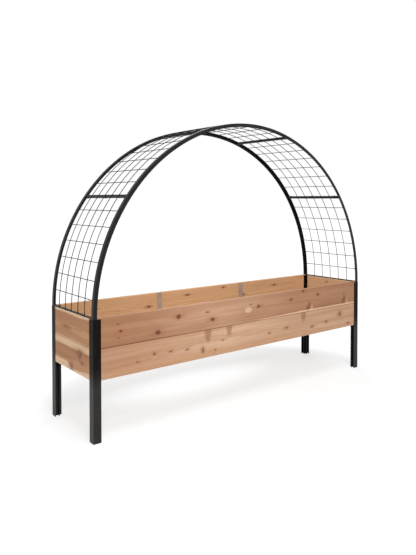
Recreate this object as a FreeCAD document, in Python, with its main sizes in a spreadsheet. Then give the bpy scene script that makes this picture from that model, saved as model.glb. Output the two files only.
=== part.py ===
import FreeCAD, Part
import math
import os
import Sketcher

# A raised cedar planter box on four corner legs, with an arched mesh trellis over it.
# Millimetres. X runs along the box, Y across it (front at -Y), Z up from the ground,
# with the origin on the ground at the middle of the four legs.

os.makedirs("parts", exist_ok=True)
doc = FreeCAD.newDocument("planter_with_trellis")

# ---------------------------------------------------------------- driving dimensions
DIMENSIONS = [
    ("length", 2460, "outside length over the legs"),
    ("depth", 590, "outside depth over the legs"),
    ("leg_height", 725, "ground to the top of a leg"),
    ("leg_width", 50.8, "outside width of a leg on both faces"),
    ("leg_wall", 1.9, "wall of the leg section"),
    ("leg_edge_round", 1.5, "radius of the leg's outer corner"),
    ("board_thickness", 25, "thickness of every wall board"),
    ("board_height", 183, "height of a full board"),
    ("board_rise", 5, "how far the long walls stand above the leg tops"),
    ("board_edge_round", 3, "radius of the eased long edges"),
    ("board_end_clearance", 0.4, "gap between a board's end and the leg's web"),
    ("slot_clearance", 0.4, "how much wider than a board its slot in the leg is"),
    ("panel_count", 5, "trellis panels around the half circle"),
    ("rail_clearance", 0.4, "how much smaller than the leg's tube a rail is"),
    ("rail_wall", 2.5, "thickness of the rail's angle section"),
    ("rail_tail", 60, "straight end of a rail inside the leg"),
    ("rail_end_gap", 0.5, "distance of a rail's end from the joint plane"),
    ("bar_depth", 16, "radial depth of a cross bar"),
    ("bar_thickness", 8, "thickness of a cross bar along the arch"),
    ("wire_diameter", 4.8, "trellis mesh wire"),
    ("long_wire_count", 5, "long wires in a panel"),
    ("cross_wire_count", 6, "cross wires in a panel"),
    ("cross_wire_inset", 8.6, "gap between a cross wire's end and the rail's face flange"),
    ("wire_clearance", 0.1, "gap between a wire and the steel that it lies on"),
    ("weld_bite", 0.6, "how far crossing wires sink into each other"),
    ("wire_end", 2, "distance of a long wire's end from the joint plane"),
    ("strap_width", 44, "width of a wall strap and of its cross tube"),
    ("strap_thickness", 3, "thickness of a wall strap"),
    ("strap_place", 403, "middle of the box to the middle of a strap"),
    ("strap_screw_lift", 14, "top of the floor to the lower strap screws"),
    ("tube_height", 25, "height of a cross tube and of an end ledger"),
    ("tube_wall", 2, "wall of a cross tube"),
    ("ledger_reach", 25, "how far an end ledger stands out of the end wall"),
    ("ledger_wall", 3, "thickness of an end ledger"),
    ("ledger_clearance", 1, "gap between a ledger's end and the leg"),
    ("slat_count", 4, "floor slats side by side"),
    ("slat_thickness", 19, "thickness of a floor slat"),
    ("slat_gap", 8, "drainage gap between floor slats"),
    ("slat_clearance", 1, "gap between the outer slats and the straps"),
    ("slat_end_clearance", 2, "gap between a slat's end and the legs"),
    ("slat_edge_round", 2, "radius of a slat's eased long edges"),
    ("screw_diameter", 4, "shank of every wood screw"),
    ("screw_length", 18, "shank length of every wood screw"),
    ("screw_head", 8, "head diameter of every wood screw"),
    ("screw_head_height", 2.4, "head height of every wood screw"),
    ("screw_clearance", 0.3, "gap all round a screw's shank"),
    ("bar_screw_inset", 63, "end of a ledger to its outer screw"),
    ("bolt_diameter", 6, "shank of a trellis bolt"),
    ("bolt_head", 10, "width across the flats of a bolt head and a nut"),
    ("bolt_head_height", 4, "height of a bolt head"),
    ("bolt_end", 2, "bolt thread that shows past the nut"),
    ("nut_height", 5, "height of a nut"),
    ("bolt_clearance", 0.3, "gap all round a bolt's shank"),
    ("bolt_inset", 50, "end of a joint's bar to its outer bolt"),
    ("plaque_length", 64, "long axis of the oval plaque"),
    ("plaque_height", 40, "short axis of the oval plaque"),
    ("plaque_thickness", 1.2, "thickness of the plaque"),
    ("plaque_place", -20, "middle of the box to the middle of the plaque"),
    ("pin_spacing", 48, "distance between the plaque's two pins"),
    ("pin_diameter", 2, "shank of a plaque pin"),
    ("pin_length", 12, "shank length of a plaque pin"),
    ("pin_head", 4.4, "head diameter of a plaque pin"),
    ("pin_head_height", 0.7, "head height of a plaque pin"),
]

sheet = doc.addObject("Spreadsheet::Sheet", "sizes")
for row, (alias, number, meaning) in enumerate(DIMENSIONS, start=1):
    sheet.set(f"A{row}", meaning)
    sheet.set(f"B{row}", str(number))
    sheet.setAlias(f"B{row}", alias)
doc.recompute()

# Places that follow from the dimensions, as expressions on the sheet.
HALF_LENGTH = "(sizes.length / 2)"
HALF_DEPTH = "(sizes.depth / 2)"
LEG_SLOT = "(sizes.board_thickness + sizes.slot_clearance)"
LEG_TUBE = f"({LEG_SLOT} + 2 * sizes.leg_wall)"
LEG_SCREW = f"(({LEG_TUBE} + sizes.leg_width) / 2)"
WALL_INNER = "(sizes.leg_wall + sizes.board_thickness)"
LONG_BOARD = f"(sizes.length - 2 * ({LEG_TUBE} + sizes.board_end_clearance))"
END_BOARD = f"(sizes.depth - 2 * ({LEG_TUBE} + sizes.board_end_clearance))"
BOX_UNDERSIDE = "(sizes.leg_height + sizes.board_rise - 2 * sizes.board_height)"
SEAM = f"({BOX_UNDERSIDE} + sizes.board_height)"
END_TOP_BOARD = "(sizes.board_height - sizes.board_rise)"
FLOOR_SEAT = f"({BOX_UNDERSIDE} + sizes.tube_height)"
STRAP_SCREW_RISE = "(sizes.tube_height + sizes.slat_thickness + sizes.strap_screw_lift)"
LEDGER_HALF = f"({HALF_DEPTH} - sizes.leg_width - sizes.ledger_clearance)"
BAR_SCREW_SPACING = f"({LEDGER_HALF} - sizes.bar_screw_inset)"
SCREW_HOLE = "(sizes.screw_diameter + 2 * sizes.screw_clearance)"
PIN_HOLE = "(sizes.pin_diameter + 2 * sizes.screw_clearance)"
BOLT_HOLE = "(sizes.bolt_diameter + 2 * sizes.bolt_clearance)"
ARCH_RADIUS = f"({HALF_LENGTH} - sizes.leg_wall)"
RAIL_SIZE = f"({LEG_SLOT} - sizes.rail_clearance)"
RAIL_FACE = f"({HALF_DEPTH} - sizes.leg_wall)"
PANEL_ANGLE = "(180 / sizes.panel_count)"
BAR_HALF = f"({RAIL_FACE} - sizes.rail_wall)"
BOLT_SPACING = f"({BAR_HALF} - sizes.bolt_inset)"
CROSS_WIRE_LENGTH = f"(2 * ({BAR_HALF} - sizes.cross_wire_inset))"
CROSS_WIRE_RADIUS = f"({ARCH_RADIUS} - sizes.rail_wall - sizes.wire_clearance - sizes.wire_diameter / 2)"
LONG_WIRE_RADIUS = f"({CROSS_WIRE_RADIUS} + sizes.wire_diameter - sizes.weld_bite)"
LONG_WIRE_SPACING = f"(2 * ({RAIL_FACE} - {RAIL_SIZE}) / (sizes.long_wire_count + 1))"
BAR_OUTER = f"({LONG_WIRE_RADIUS} - sizes.wire_diameter / 2 - sizes.wire_clearance)"
BAR_MIDDLE = f"({BAR_OUTER} - sizes.bar_depth / 2)"
PLAQUE_RISE = "(sizes.board_height / 2)"

X_AXIS = FreeCAD.Vector(1, 0, 0)
Y_AXIS = FreeCAD.Vector(0, 1, 0)
Z_AXIS = FreeCAD.Vector(0, 0, 1)
NO_TURN = FreeCAD.Rotation()
HALF_TURN = FreeCAD.Rotation(Z_AXIS, 180)
parts = []


def size(expression):
    """Number that an expression on the sheet gives."""
    return float(sheet.evalExpression(expression))


def place(piece, x, y, z, rotation=NO_TURN):
    """Put a piece at a point given by three expressions, turned by a rotation."""
    piece.Placement = FreeCAD.Placement(FreeCAD.Vector(size(x), size(y), size(z)), rotation)
    for axis, expression in zip("xyz", (x, y, z)):
        piece.setExpression(f".Placement.Base.{axis}", expression)


def keep(piece, label):
    """Count a finished piece among those that are written to a file."""
    piece.Label = label
    parts.append(piece)
    return piece


# ---------------------------------------------------------------- sketch helpers
def new_body(name):
    return doc.addObject("PartDesign::Body", name + "_body")


def new_sketch(body, name, role, offset="0"):
    """Sketch on one of the body's own origin planes, moved along the plane's normal."""
    sketch = body.newObject("Sketcher::SketchObject", name)
    plane = [feature for feature in body.Origin.OriginFeatures if feature.Role == role][0]
    sketch.AttachmentSupport = [(plane, "")]
    sketch.MapMode = "FlatFace"
    sketch.AttachmentOffset = FreeCAD.Placement(FreeCAD.Vector(0, 0, size(offset)), NO_TURN)
    sketch.setExpression("AttachmentOffset.Base.z", offset)
    return sketch


def pin_point(sketch, geometry, position, x, y):
    """Hold a point of the sketch at two expressions, measured from the sketch's origin."""
    for kind, expression in (("DistanceX", x), ("DistanceY", y)):
        rule = Sketcher.Constraint(kind, -1, 1, geometry, position, size(expression))
        index = sketch.addConstraint(rule)
        sketch.setExpression(f"Constraints[{index}]", expression)


def polygon(sketch, corners):
    """Closed outline through corners that are pairs of expressions."""
    first = sketch.GeometryCount
    points = [FreeCAD.Vector(size(x), size(y), 0) for x, y in corners]
    count = len(points)
    for index, point in enumerate(points):
        sketch.addGeometry(Part.LineSegment(point, points[(index + 1) % count]), False)
    for index in range(count):
        following = first + (index + 1) % count
        sketch.addConstraint(Sketcher.Constraint("Coincident", first + index, 2, following, 1))
    for index, (x, y) in enumerate(corners):
        pin_point(sketch, first + index, 1, x, y)


def rectangle(sketch, left, low, right, high):
    polygon(sketch, [(left, low), (right, low), (right, high), (left, high)])


def circle(sketch, x, y, diameter):
    middle = FreeCAD.Vector(size(x), size(y), 0)
    index = sketch.addGeometry(Part.Circle(middle, Z_AXIS, size(diameter) / 2), False)
    pin_point(sketch, index, 3, x, y)
    rule = sketch.addConstraint(Sketcher.Constraint("Diameter", index, size(diameter)))
    sketch.setExpression(f"Constraints[{rule}]", diameter)


def pad(body, sketch, length, downwards=False, both_ways=False):
    feature = body.newObject("PartDesign::Pad", sketch.Name + "_pad")
    feature.Profile = sketch
    feature.setExpression("Length", length)
    feature.Reversed = downwards
    feature.Midplane = both_ways
    return feature


def drill(body, name, role, offset, centres, diameter, deep, reverse):
    """Round holes from an offset plane; stops if they remove nothing."""
    doc.recompute()
    before = body.Shape.Volume
    sketch = new_sketch(body, name, role, offset)
    for x, y in centres:
        circle(sketch, x, y, diameter)
    feature = body.newObject("PartDesign::Pocket", name + "_cut")
    feature.Profile = sketch
    feature.setExpression("Length", deep)
    feature.Reversed = reverse
    doc.recompute()
    if body.Shape.Volume > before - 1:
        raise RuntimeError(name + " removes nothing from " + body.Label)


def ease_long_edges(body, base, radius, axis, within=None):
    """Round the edges that run along an axis, or only those within a distance of it."""
    doc.recompute()
    names = []
    for number, edge in enumerate(base.Shape.Edges, start=1):
        direction = edge.tangentAt(edge.FirstParameter)
        aside = edge.CenterOfMass.cross(axis).Length
        if abs(direction.dot(axis)) > 0.99 and (within is None or aside < within):
            names.append(f"Edge{number}")
    feature = body.newObject("PartDesign::Fillet", base.Name + "_eased")
    feature.Base = (base, names)
    feature.setExpression("Radius", radius)


# ---------------------------------------------------------------- legs
LEG_SCREW_HEIGHTS = [
    f"({BOX_UNDERSIDE} + sizes.board_height / 2)",
    f"({SEAM} + sizes.board_height / 2)",
]


def leg(label, x, y, turn):
    """Corner post: an outer angle, a square tube in its corner and two inner flanges.

    The slots between the outer angle and the flanges take the ends of the boards.
    """
    body = new_body(label)
    section = new_sketch(body, label + "_section", "XY_Plane")
    wide, wall, tube = "sizes.leg_width", "sizes.leg_wall", LEG_TUBE
    inner = f"({tube} - {wall})"
    arm = [("0", "0"), (wide, "0"), (wide, wall), (tube, wall), (tube, inner), (wide, inner), (wide, tube)]
    mirrored_arm = [(b, a) for a, b in reversed(arm[1:])]
    polygon(section, arm + [(tube, tube)] + mirrored_arm)
    rectangle(section, wall, wall, inner, inner)
    post = pad(body, section, "sizes.leg_height")
    ease_long_edges(body, post, "sizes.leg_edge_round", Z_AXIS, within=size("sizes.leg_wall") / 2)
    centres = [(LEG_SCREW, height) for height in LEG_SCREW_HEIGHTS]
    through = "2 * sizes.leg_wall"
    drill(body, label + "_long_wall_holes", "XZ_Plane", f"-{tube}", centres, SCREW_HOLE, through, True)
    drill(body, label + "_end_wall_holes", "YZ_Plane", tube, centres, SCREW_HOLE, through, False)
    place(body, x, y, "0", FreeCAD.Rotation(Z_AXIS, turn))
    return keep(body, label)


CORNERS = [
    ("front_left", -1, -1, 0),
    ("front_right", 1, -1, 90),
    ("rear_right", 1, 1, 180),
    ("rear_left", -1, 1, 270),
]
for corner, x_side, y_side, turn in CORNERS:
    leg(corner + "_leg", f"{x_side} * {HALF_LENGTH}", f"{y_side} * {HALF_DEPTH}", turn)


# ---------------------------------------------------------------- wall boards
def board(label, long, high, x, y, z, turn, side_holes, top_holes=(), front_pins=()):
    """Wall board along its own X, outer face at Y = 0, lower edge at Z = 0."""
    body = new_body(label)
    blank = body.newObject("PartDesign::AdditiveBox", label + "_blank")
    blank.setExpression("Length", long)
    blank.setExpression("Width", "sizes.board_thickness")
    blank.setExpression("Height", high)
    blank.setExpression(".Placement.Base.x", f"-{long} / 2")
    ease_long_edges(body, blank, "sizes.board_edge_round", X_AXIS)
    drill(body, label + "_pilots", "XZ_Plane", "-sizes.board_thickness", side_holes, SCREW_HOLE,
          "sizes.screw_length", True)
    if top_holes:
        drill(body, label + "_top_pilots", "XY_Plane", high, top_holes, SCREW_HOLE,
              "sizes.screw_length", False)
    if front_pins:
        drill(body, label + "_pin_holes", "XZ_Plane", "0", front_pins, PIN_HOLE,
              "sizes.pin_length", False)
    place(body, x, y, z, FreeCAD.Rotation(Z_AXIS, turn))
    return keep(body, label)


MID_BOARD = "(sizes.board_height / 2)"
END_SCREW_X = f"({HALF_LENGTH} - {LEG_SCREW})"
END_SCREW_Y = f"({HALF_DEPTH} - {LEG_SCREW})"
LONG_ENDS = [(f"-{END_SCREW_X}", MID_BOARD), (END_SCREW_X, MID_BOARD)]
SHORT_ENDS = [(f"-{END_SCREW_Y}", MID_BOARD), (END_SCREW_Y, MID_BOARD)]
STRAP_HOLES = [(f"{side} * sizes.strap_place", STRAP_SCREW_RISE) for side in (-1, 1)]
LEDGER_SCREW_RISE = "((sizes.tube_height - sizes.ledger_wall) / 2)"
LEDGER_HOLES = [(f"{step} * {BAR_SCREW_SPACING}", LEDGER_SCREW_RISE) for step in (-1, 0, 1)]
FOOT_SCREW_INSET = f"({ARCH_RADIUS} - {BAR_MIDDLE})"
FOOT_HOLES = [(f"{step} * {BAR_SCREW_SPACING}", FOOT_SCREW_INSET) for step in (-1, 0, 1)]
PLAQUE_PINS = [(f"sizes.plaque_place + {side} * sizes.pin_spacing / 2", PLAQUE_RISE) for side in (-1, 1)]

for wall, side, turn in (("front", -1, 0), ("rear", 1, 180)):
    wall_y = f"{side} * {RAIL_FACE}"
    pins = PLAQUE_PINS if wall == "front" else ()
    for level, low, carried_pins in (("lower", BOX_UNDERSIDE, ()), ("upper", SEAM, pins)):
        board(f"{wall}_{level}_board", LONG_BOARD, "sizes.board_height", "0", wall_y, low, turn,
              LONG_ENDS + STRAP_HOLES, front_pins=carried_pins)

for wall, side, turn in (("left", -1, -90), ("right", 1, 90)):
    wall_x = f"{side} * {ARCH_RADIUS}"
    board(wall + "_lower_board", END_BOARD, "sizes.board_height", wall_x, "0",
          BOX_UNDERSIDE, turn, SHORT_ENDS + LEDGER_HOLES)
    board(wall + "_upper_board", END_BOARD, END_TOP_BOARD, wall_x, "0",
          SEAM, turn, SHORT_ENDS, top_holes=FOOT_HOLES)


# ---------------------------------------------------------------- straps, cross tubes, ledgers
def wall_strap(label, x_side, turn, y_side):
    """Flat aluminium strap up the inside of a long wall, screwed to both boards."""
    body = new_body(label)
    face = new_sketch(body, label + "_face", "XZ_Plane")
    rectangle(face, "-sizes.strap_width / 2", "0", "sizes.strap_width / 2", "2 * sizes.board_height")
    for rise in (STRAP_SCREW_RISE, f"(sizes.board_height + {STRAP_SCREW_RISE})"):
        circle(face, "0", rise, SCREW_HOLE)
    pad(body, face, "sizes.strap_thickness", downwards=True)
    x = f"{x_side} * sizes.strap_place"
    y = f"{y_side} * ({HALF_DEPTH} - {WALL_INNER})"
    place(body, x, y, BOX_UNDERSIDE, FreeCAD.Rotation(Z_AXIS, turn))
    return keep(body, label)


def cross_tube(label, x_side):
    """Rectangular aluminium tube under the floor, welded to the straps at both ends."""
    body = new_body(label)
    section = new_sketch(body, label + "_section", "XZ_Plane")
    wide, wall, high = "sizes.strap_width", "sizes.tube_wall", "sizes.tube_height"
    rectangle(section, f"-{wide} / 2", "0", f"{wide} / 2", high)
    rectangle(section, f"-{wide} / 2 + {wall}", wall, f"{wide} / 2 - {wall}", f"{high} - {wall}")
    pad(body, section, f"sizes.depth - 2 * ({WALL_INNER} + sizes.strap_thickness)", both_ways=True)
    place(body, f"{x_side} * sizes.strap_place", "0", BOX_UNDERSIDE)
    return keep(body, label)


def end_ledger(label, x_side, turn):
    """Aluminium angle on the inside of an end wall, under the ends of the floor slats."""
    body = new_body(label)
    section = new_sketch(body, label + "_section", "YZ_Plane")
    reach, wall, high = "sizes.ledger_reach", "sizes.ledger_wall", "sizes.tube_height"
    polygon(section, [("0", "0"), (wall, "0"), (wall, f"{high} - {wall}"),
                      (reach, f"{high} - {wall}"), (reach, high), ("0", high)])
    pad(body, section, f"2 * {LEDGER_HALF}", both_ways=True)
    drill(body, label + "_holes", "XZ_Plane", f"-{wall}", LEDGER_HOLES, SCREW_HOLE, f"2 * {wall}", True)
    x = f"{x_side} * ({HALF_LENGTH} - {WALL_INNER})"
    place(body, x, "0", BOX_UNDERSIDE, FreeCAD.Rotation(Z_AXIS, turn))
    return keep(body, label)


for wall, y_side, turn in (("front", -1, 0), ("rear", 1, 180)):
    for end, x_side in (("left", -1), ("right", 1)):
        wall_strap(f"{wall}_{end}_strap", x_side, turn, y_side)
for end, x_side, turn in (("left", -1, -90), ("right", 1, 90)):
    cross_tube(end + "_cross_tube", x_side)
    end_ledger(end + "_end_ledger", x_side, turn)


# ---------------------------------------------------------------- floor
FLOOR_HALF = f"({HALF_DEPTH} - {WALL_INNER} - sizes.strap_thickness - sizes.slat_clearance)"
SLAT_WIDTH = f"((2 * {FLOOR_HALF} - (sizes.slat_count - 1) * sizes.slat_gap) / sizes.slat_count)"
SLAT_LENGTH = f"(sizes.length - 2 * ({LEG_TUBE} + sizes.slat_end_clearance))"


def floor_slat(number):
    """Loose cedar slat that lies on both cross tubes and both end ledgers."""
    label = f"floor_slat_{number}"
    body = new_body(label)
    blank = body.newObject("PartDesign::AdditiveBox", label + "_blank")
    blank.setExpression("Length", SLAT_LENGTH)
    blank.setExpression("Width", SLAT_WIDTH)
    blank.setExpression("Height", "sizes.slat_thickness")
    ease_long_edges(body, blank, "sizes.slat_edge_round", X_AXIS)
    y = f"-{FLOOR_HALF} + {number - 1} * ({SLAT_WIDTH} + sizes.slat_gap)"
    place(body, f"-{SLAT_LENGTH} / 2", y, FLOOR_SEAT)
    return keep(body, label)


for slat in range(int(size("sizes.slat_count"))):
    floor_slat(slat + 1)


# ---------------------------------------------------------------- trellis arch
# The arch is a half circle about a line along Y at the height of the leg tops. A piece is
# drawn with X outwards, Y across and Z along the arch, then turned to its angle from the
# right foot. The left half is the right half turned about Z.
def arch_placement(piece, angle, turned):
    rotation = FreeCAD.Rotation(Y_AXIS, -angle)
    if turned:
        rotation = HALF_TURN.multiply(rotation)
    place(piece, "0", "0", "sizes.leg_height", rotation)


RAIL_GAP_ANGLE = f"(asin(sizes.rail_end_gap / {ARCH_RADIUS}) / 1 deg)"


def rail(label, y_side, start_gap, panel, has_tail, turned):
    """One panel's curved angle: a flange on the arch's outside and one on the trellis face."""
    body = new_body(label)
    section = new_sketch(body, label + "_section", "XY_Plane")
    outer, face = ARCH_RADIUS, RAIL_FACE
    deep, wall = RAIL_SIZE, "sizes.rail_wall"
    corners = [(outer, face), (outer, f"({face} - {deep})"),
               (f"({outer} - {wall})", f"({face} - {deep})"), (f"({outer} - {wall})", f"({face} - {wall})"),
               (f"({outer} - {deep})", f"({face} - {wall})"), (f"({outer} - {deep})", face)]
    polygon(section, [(x, f"{y_side} * {y}") for x, y in corners])
    bend = body.newObject("PartDesign::Revolution", label + "_bend")
    bend.Profile = section
    bend.ReferenceAxis = (section, ["V_Axis"])
    bend.Reversed = True
    gaps = 1 + start_gap
    bend.setExpression("Angle", f"{PANEL_ANGLE} - {gaps} * {RAIL_GAP_ANGLE}")
    if has_tail:
        tail = new_sketch(body, label + "_tail_section", "XY_Plane")
        polygon(tail, [(x, f"{y_side} * {y}") for x, y in corners])
        pad(body, tail, "sizes.rail_tail", downwards=True)
    arch_placement(body, panel * size(PANEL_ANGLE) + start_gap * size(RAIL_GAP_ANGLE), turned)
    return keep(body, label)


BOLT_PLACES = [f"{step} * {BOLT_SPACING}" for step in (-1, 0, 1)]
FOOT_SCREW_PLACES = [f"{step} * {BAR_SCREW_SPACING}" for step in (-1, 0, 1)]


def cross_bar(label, joint, before_joint, places, hole, turned):
    """Flat bar between the rails at one end of a panel, drilled for its fasteners."""
    body = new_body(label)
    face = new_sketch(body, label + "_face", "XY_Plane")
    rectangle(face, f"({BAR_OUTER} - sizes.bar_depth)", f"-{BAR_HALF}", BAR_OUTER, BAR_HALF)
    for y in places:
        circle(face, BAR_MIDDLE, y, hole)
    pad(body, face, "sizes.bar_thickness", downwards=before_joint)
    arch_placement(body, joint * size(PANEL_ANGLE), turned)
    return keep(body, label)


# One panel's mesh, drawn from its joint plane at angle 0 and used for every panel. A wire
# has eight sides, and a long wire starts and ends short of the joint planes.
WIRE_SIDES = 8
WIRE_END_ANGLE = f"(asin(sizes.wire_end / {LONG_WIRE_RADIUS}) / 1 deg)"
WIRE_CORNER = f"(sizes.wire_diameter / 2 / cos({180 / WIRE_SIDES} deg))"
LYING_ACROSS = FreeCAD.Rotation(X_AXIS, 90)
HALF_SIDE = FreeCAD.Rotation(Z_AXIS, 180 / WIRE_SIDES)


def long_wire(number, across):
    """Wire that follows the arch."""
    section = doc.addObject("Part::RegularPolygon", f"long_wire_{number}_section")
    section.Polygon = WIRE_SIDES
    section.setExpression("Circumradius", WIRE_CORNER)
    place(section, LONG_WIRE_RADIUS, across, "0", HALF_SIDE)
    wire = doc.addObject("Part::Revolution", f"long_wire_{number}")
    wire.Source = section
    wire.Axis = FreeCAD.Vector(0, -1, 0)
    wire.Solid = True
    wire.setExpression("Angle", f"{PANEL_ANGLE} - 2 * {WIRE_END_ANGLE}")
    wire.Placement = FreeCAD.Placement(FreeCAD.Vector(), FreeCAD.Rotation(Y_AXIS, -size(WIRE_END_ANGLE)))
    return wire


def cross_wire(number, angle):
    """Straight wire across the arch, under the long wires."""
    wire = doc.addObject("Part::Prism", f"cross_wire_{number}")
    wire.Polygon = WIRE_SIDES
    wire.setExpression("Circumradius", WIRE_CORNER)
    wire.setExpression("Height", CROSS_WIRE_LENGTH)
    tilt = FreeCAD.Rotation(Y_AXIS, -size(angle)).multiply(LYING_ACROSS).multiply(HALF_SIDE)
    place(wire, f"{CROSS_WIRE_RADIUS} * cos({angle} * 1 deg)", f"{CROSS_WIRE_LENGTH} / 2",
          f"{CROSS_WIRE_RADIUS} * sin({angle} * 1 deg)", tilt)
    return wire


def mesh_master():
    wires = []
    for index in range(int(size("sizes.long_wire_count"))):
        across = f"({index} - (sizes.long_wire_count - 1) / 2) * {LONG_WIRE_SPACING}"
        wires.append(long_wire(index + 1, across))
    for index in range(int(size("sizes.cross_wire_count"))):
        angle = f"({index + 1} * {PANEL_ANGLE} / (sizes.cross_wire_count + 1))"
        wires.append(cross_wire(index + 1, angle))
    welded = doc.addObject("Part::MultiFuse", "welded_mesh")
    welded.Shapes = wires
    return welded


def mesh_panel(label, master, panel, turned):
    """Welded mesh of one panel: long wires on the bars, cross wires under the rails."""
    panel_mesh = doc.addObject("Part::Compound", label + "_compound")
    panel_mesh.Links = [master]
    arch_placement(panel_mesh, panel * size(PANEL_ANGLE), turned)
    return keep(panel_mesh, label)


welded_mesh = mesh_master()
panel_count = int(size("sizes.panel_count"))
for panel in range(panel_count):
    turned = panel >= (panel_count + 1) // 2
    own = panel_count - 1 - panel if turned else panel
    name = f"{'left' if turned else 'right'}_panel_{own + 1}"
    if 2 * panel + 1 == panel_count:
        name = "top_panel"
    is_foot = own == 0
    for face, y_side in (("front", -1), ("rear", 1)):
        drawn_side = -y_side if turned else y_side
        rail(f"{name}_{face}_rail", drawn_side, 0 if is_foot else 1, own, is_foot, turned)
    if is_foot:
        cross_bar(f"{name}_foot_bar", own, False, FOOT_SCREW_PLACES, SCREW_HOLE, turned)
    else:
        cross_bar(f"{name}_low_bar", own, False, BOLT_PLACES, BOLT_HOLE, turned)
    cross_bar(f"{name}_high_bar", own + 1, True, BOLT_PLACES, BOLT_HOLE, turned)
    mesh_panel(f"{name}_mesh", welded_mesh, own, turned)


# ---------------------------------------------------------------- plaque
def plaque():
    """Bare oval plate on the front upper board, with a hole for each pin."""
    outline = doc.addObject("Part::Ellipse", "plaque_outline")
    outline.setExpression("MajorRadius", "sizes.plaque_length / 2")
    outline.setExpression("MinorRadius", "sizes.plaque_height / 2")
    plate = doc.addObject("Part::Extrusion", "plaque_plate")
    plate.Base = outline
    plate.DirMode = "Custom"
    plate.Dir = Z_AXIS
    plate.Solid = True
    plate.setExpression("LengthFwd", "sizes.plaque_thickness")
    drilled = plate
    for side in (-1, 1):
        hole = doc.addObject("Part::Cylinder", "plaque_hole")
        hole.setExpression("Radius", f"{PIN_HOLE} / 2")
        hole.setExpression("Height", "sizes.plaque_thickness")
        place(hole, f"{side} * sizes.pin_spacing / 2", "0", "0")
        cut = doc.addObject("Part::Cut", "plaque_cut")
        cut.Base = drilled
        cut.Tool = hole
        drilled = cut
    place(drilled, "sizes.plaque_place", f"-{RAIL_FACE}", f"{SEAM} + {PLAQUE_RISE}", LYING_ACROSS)
    return keep(drilled, "plaque")


plaque()


# ---------------------------------------------------------------- fasteners
# A fastener is drawn once with its shank along +Z from the seat of its head at Z = 0.
def turned_shape(radius, head_radius, head_height, long):
    """Domed head under Z = 0 and a plain pointed shank above it, turned in one piece."""
    dome_radius = (head_radius ** 2 + head_height ** 2) / (2 * head_height)
    half_way = math.asin(head_radius / dome_radius) / 2
    dome = FreeCAD.Vector(dome_radius * math.sin(half_way), 0,
                          dome_radius * (1 - math.cos(half_way)) - head_height)
    tip = long - radius
    edges = [
        Part.Arc(FreeCAD.Vector(0, 0, -head_height), dome, FreeCAD.Vector(head_radius, 0, 0)).toShape(),
        Part.makeLine(FreeCAD.Vector(head_radius, 0, 0), FreeCAD.Vector(radius, 0, 0)),
        Part.makeLine(FreeCAD.Vector(radius, 0, 0), FreeCAD.Vector(radius, 0, tip)),
        Part.makeLine(FreeCAD.Vector(radius, 0, tip), FreeCAD.Vector(0, 0, long)),
        Part.makeLine(FreeCAD.Vector(0, 0, long), FreeCAD.Vector(0, 0, -head_height)),
    ]
    return Part.Face(Part.Wire(edges)).revolve(FreeCAD.Vector(), Z_AXIS, 360)


def hexagon(across_flats, height, low):
    reach = across_flats / math.sqrt(3)
    corners = [FreeCAD.Vector(reach * math.cos(math.radians(60 * step)),
                              reach * math.sin(math.radians(60 * step)), low) for step in range(7)]
    return Part.Face(Part.makePolygon(corners)).extrude(FreeCAD.Vector(0, 0, height))


def group(label, shape, placements):
    """Separate copies of one fastener, kept together in one piece."""
    copies = []
    for placement in placements:
        copy = shape.copy()
        copy.Placement = placement.multiply(copy.Placement)
        copies.append(copy)
    feature = doc.addObject("Part::Feature", label + "_group")
    feature.Shape = Part.makeCompound(copies)
    feature.Placement = FreeCAD.Placement()
    return keep(feature, label)


def at(x, y, z, rotation):
    return FreeCAD.Placement(FreeCAD.Vector(x, y, z), rotation)


# Rotations that send +Z outwards through each wall.
THROUGH = {
    "front": FreeCAD.Rotation(X_AXIS, 90),
    "rear": FreeCAD.Rotation(X_AXIS, -90),
    "right": FreeCAD.Rotation(Y_AXIS, 90),
    "left": FreeCAD.Rotation(Y_AXIS, -90),
}
DOWNWARDS = FreeCAD.Rotation(X_AXIS, 180)
half_length = size(HALF_LENGTH)
half_depth = size(HALF_DEPTH)
wood_screw = turned_shape(size("sizes.screw_diameter") / 2, size("sizes.screw_head") / 2,
                          size("sizes.screw_head_height"), size("sizes.screw_length"))
plaque_pin = turned_shape(size("sizes.pin_diameter") / 2, size("sizes.pin_head") / 2,
                          size("sizes.pin_head_height"), size("sizes.pin_length"))

leg_screw_places = []
for x_side in (-1, 1):
    for y_side in (-1, 1):
        for height in LEG_SCREW_HEIGHTS:
            along = half_length - size(LEG_SCREW)
            across = half_depth - size(LEG_TUBE)
            wall = "front" if y_side < 0 else "rear"
            leg_screw_places.append(at(x_side * along, y_side * across, size(height), THROUGH[wall]))
            along = half_length - size(LEG_TUBE)
            across = half_depth - size(LEG_SCREW)
            wall = "left" if x_side < 0 else "right"
            leg_screw_places.append(at(x_side * along, y_side * across, size(height), THROUGH[wall]))
group("leg_screws", wood_screw, leg_screw_places)

strap_screw_places = []
strap_face = half_depth - size(WALL_INNER) - size("sizes.strap_thickness")
for x_side in (-1, 1):
    for wall, y_side in (("front", -1), ("rear", 1)):
        for low in (BOX_UNDERSIDE, SEAM):
            z = size(low) + size(STRAP_SCREW_RISE)
            x = x_side * size("sizes.strap_place")
            strap_screw_places.append(at(x, y_side * strap_face, z, THROUGH[wall]))
group("strap_screws", wood_screw, strap_screw_places)

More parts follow.
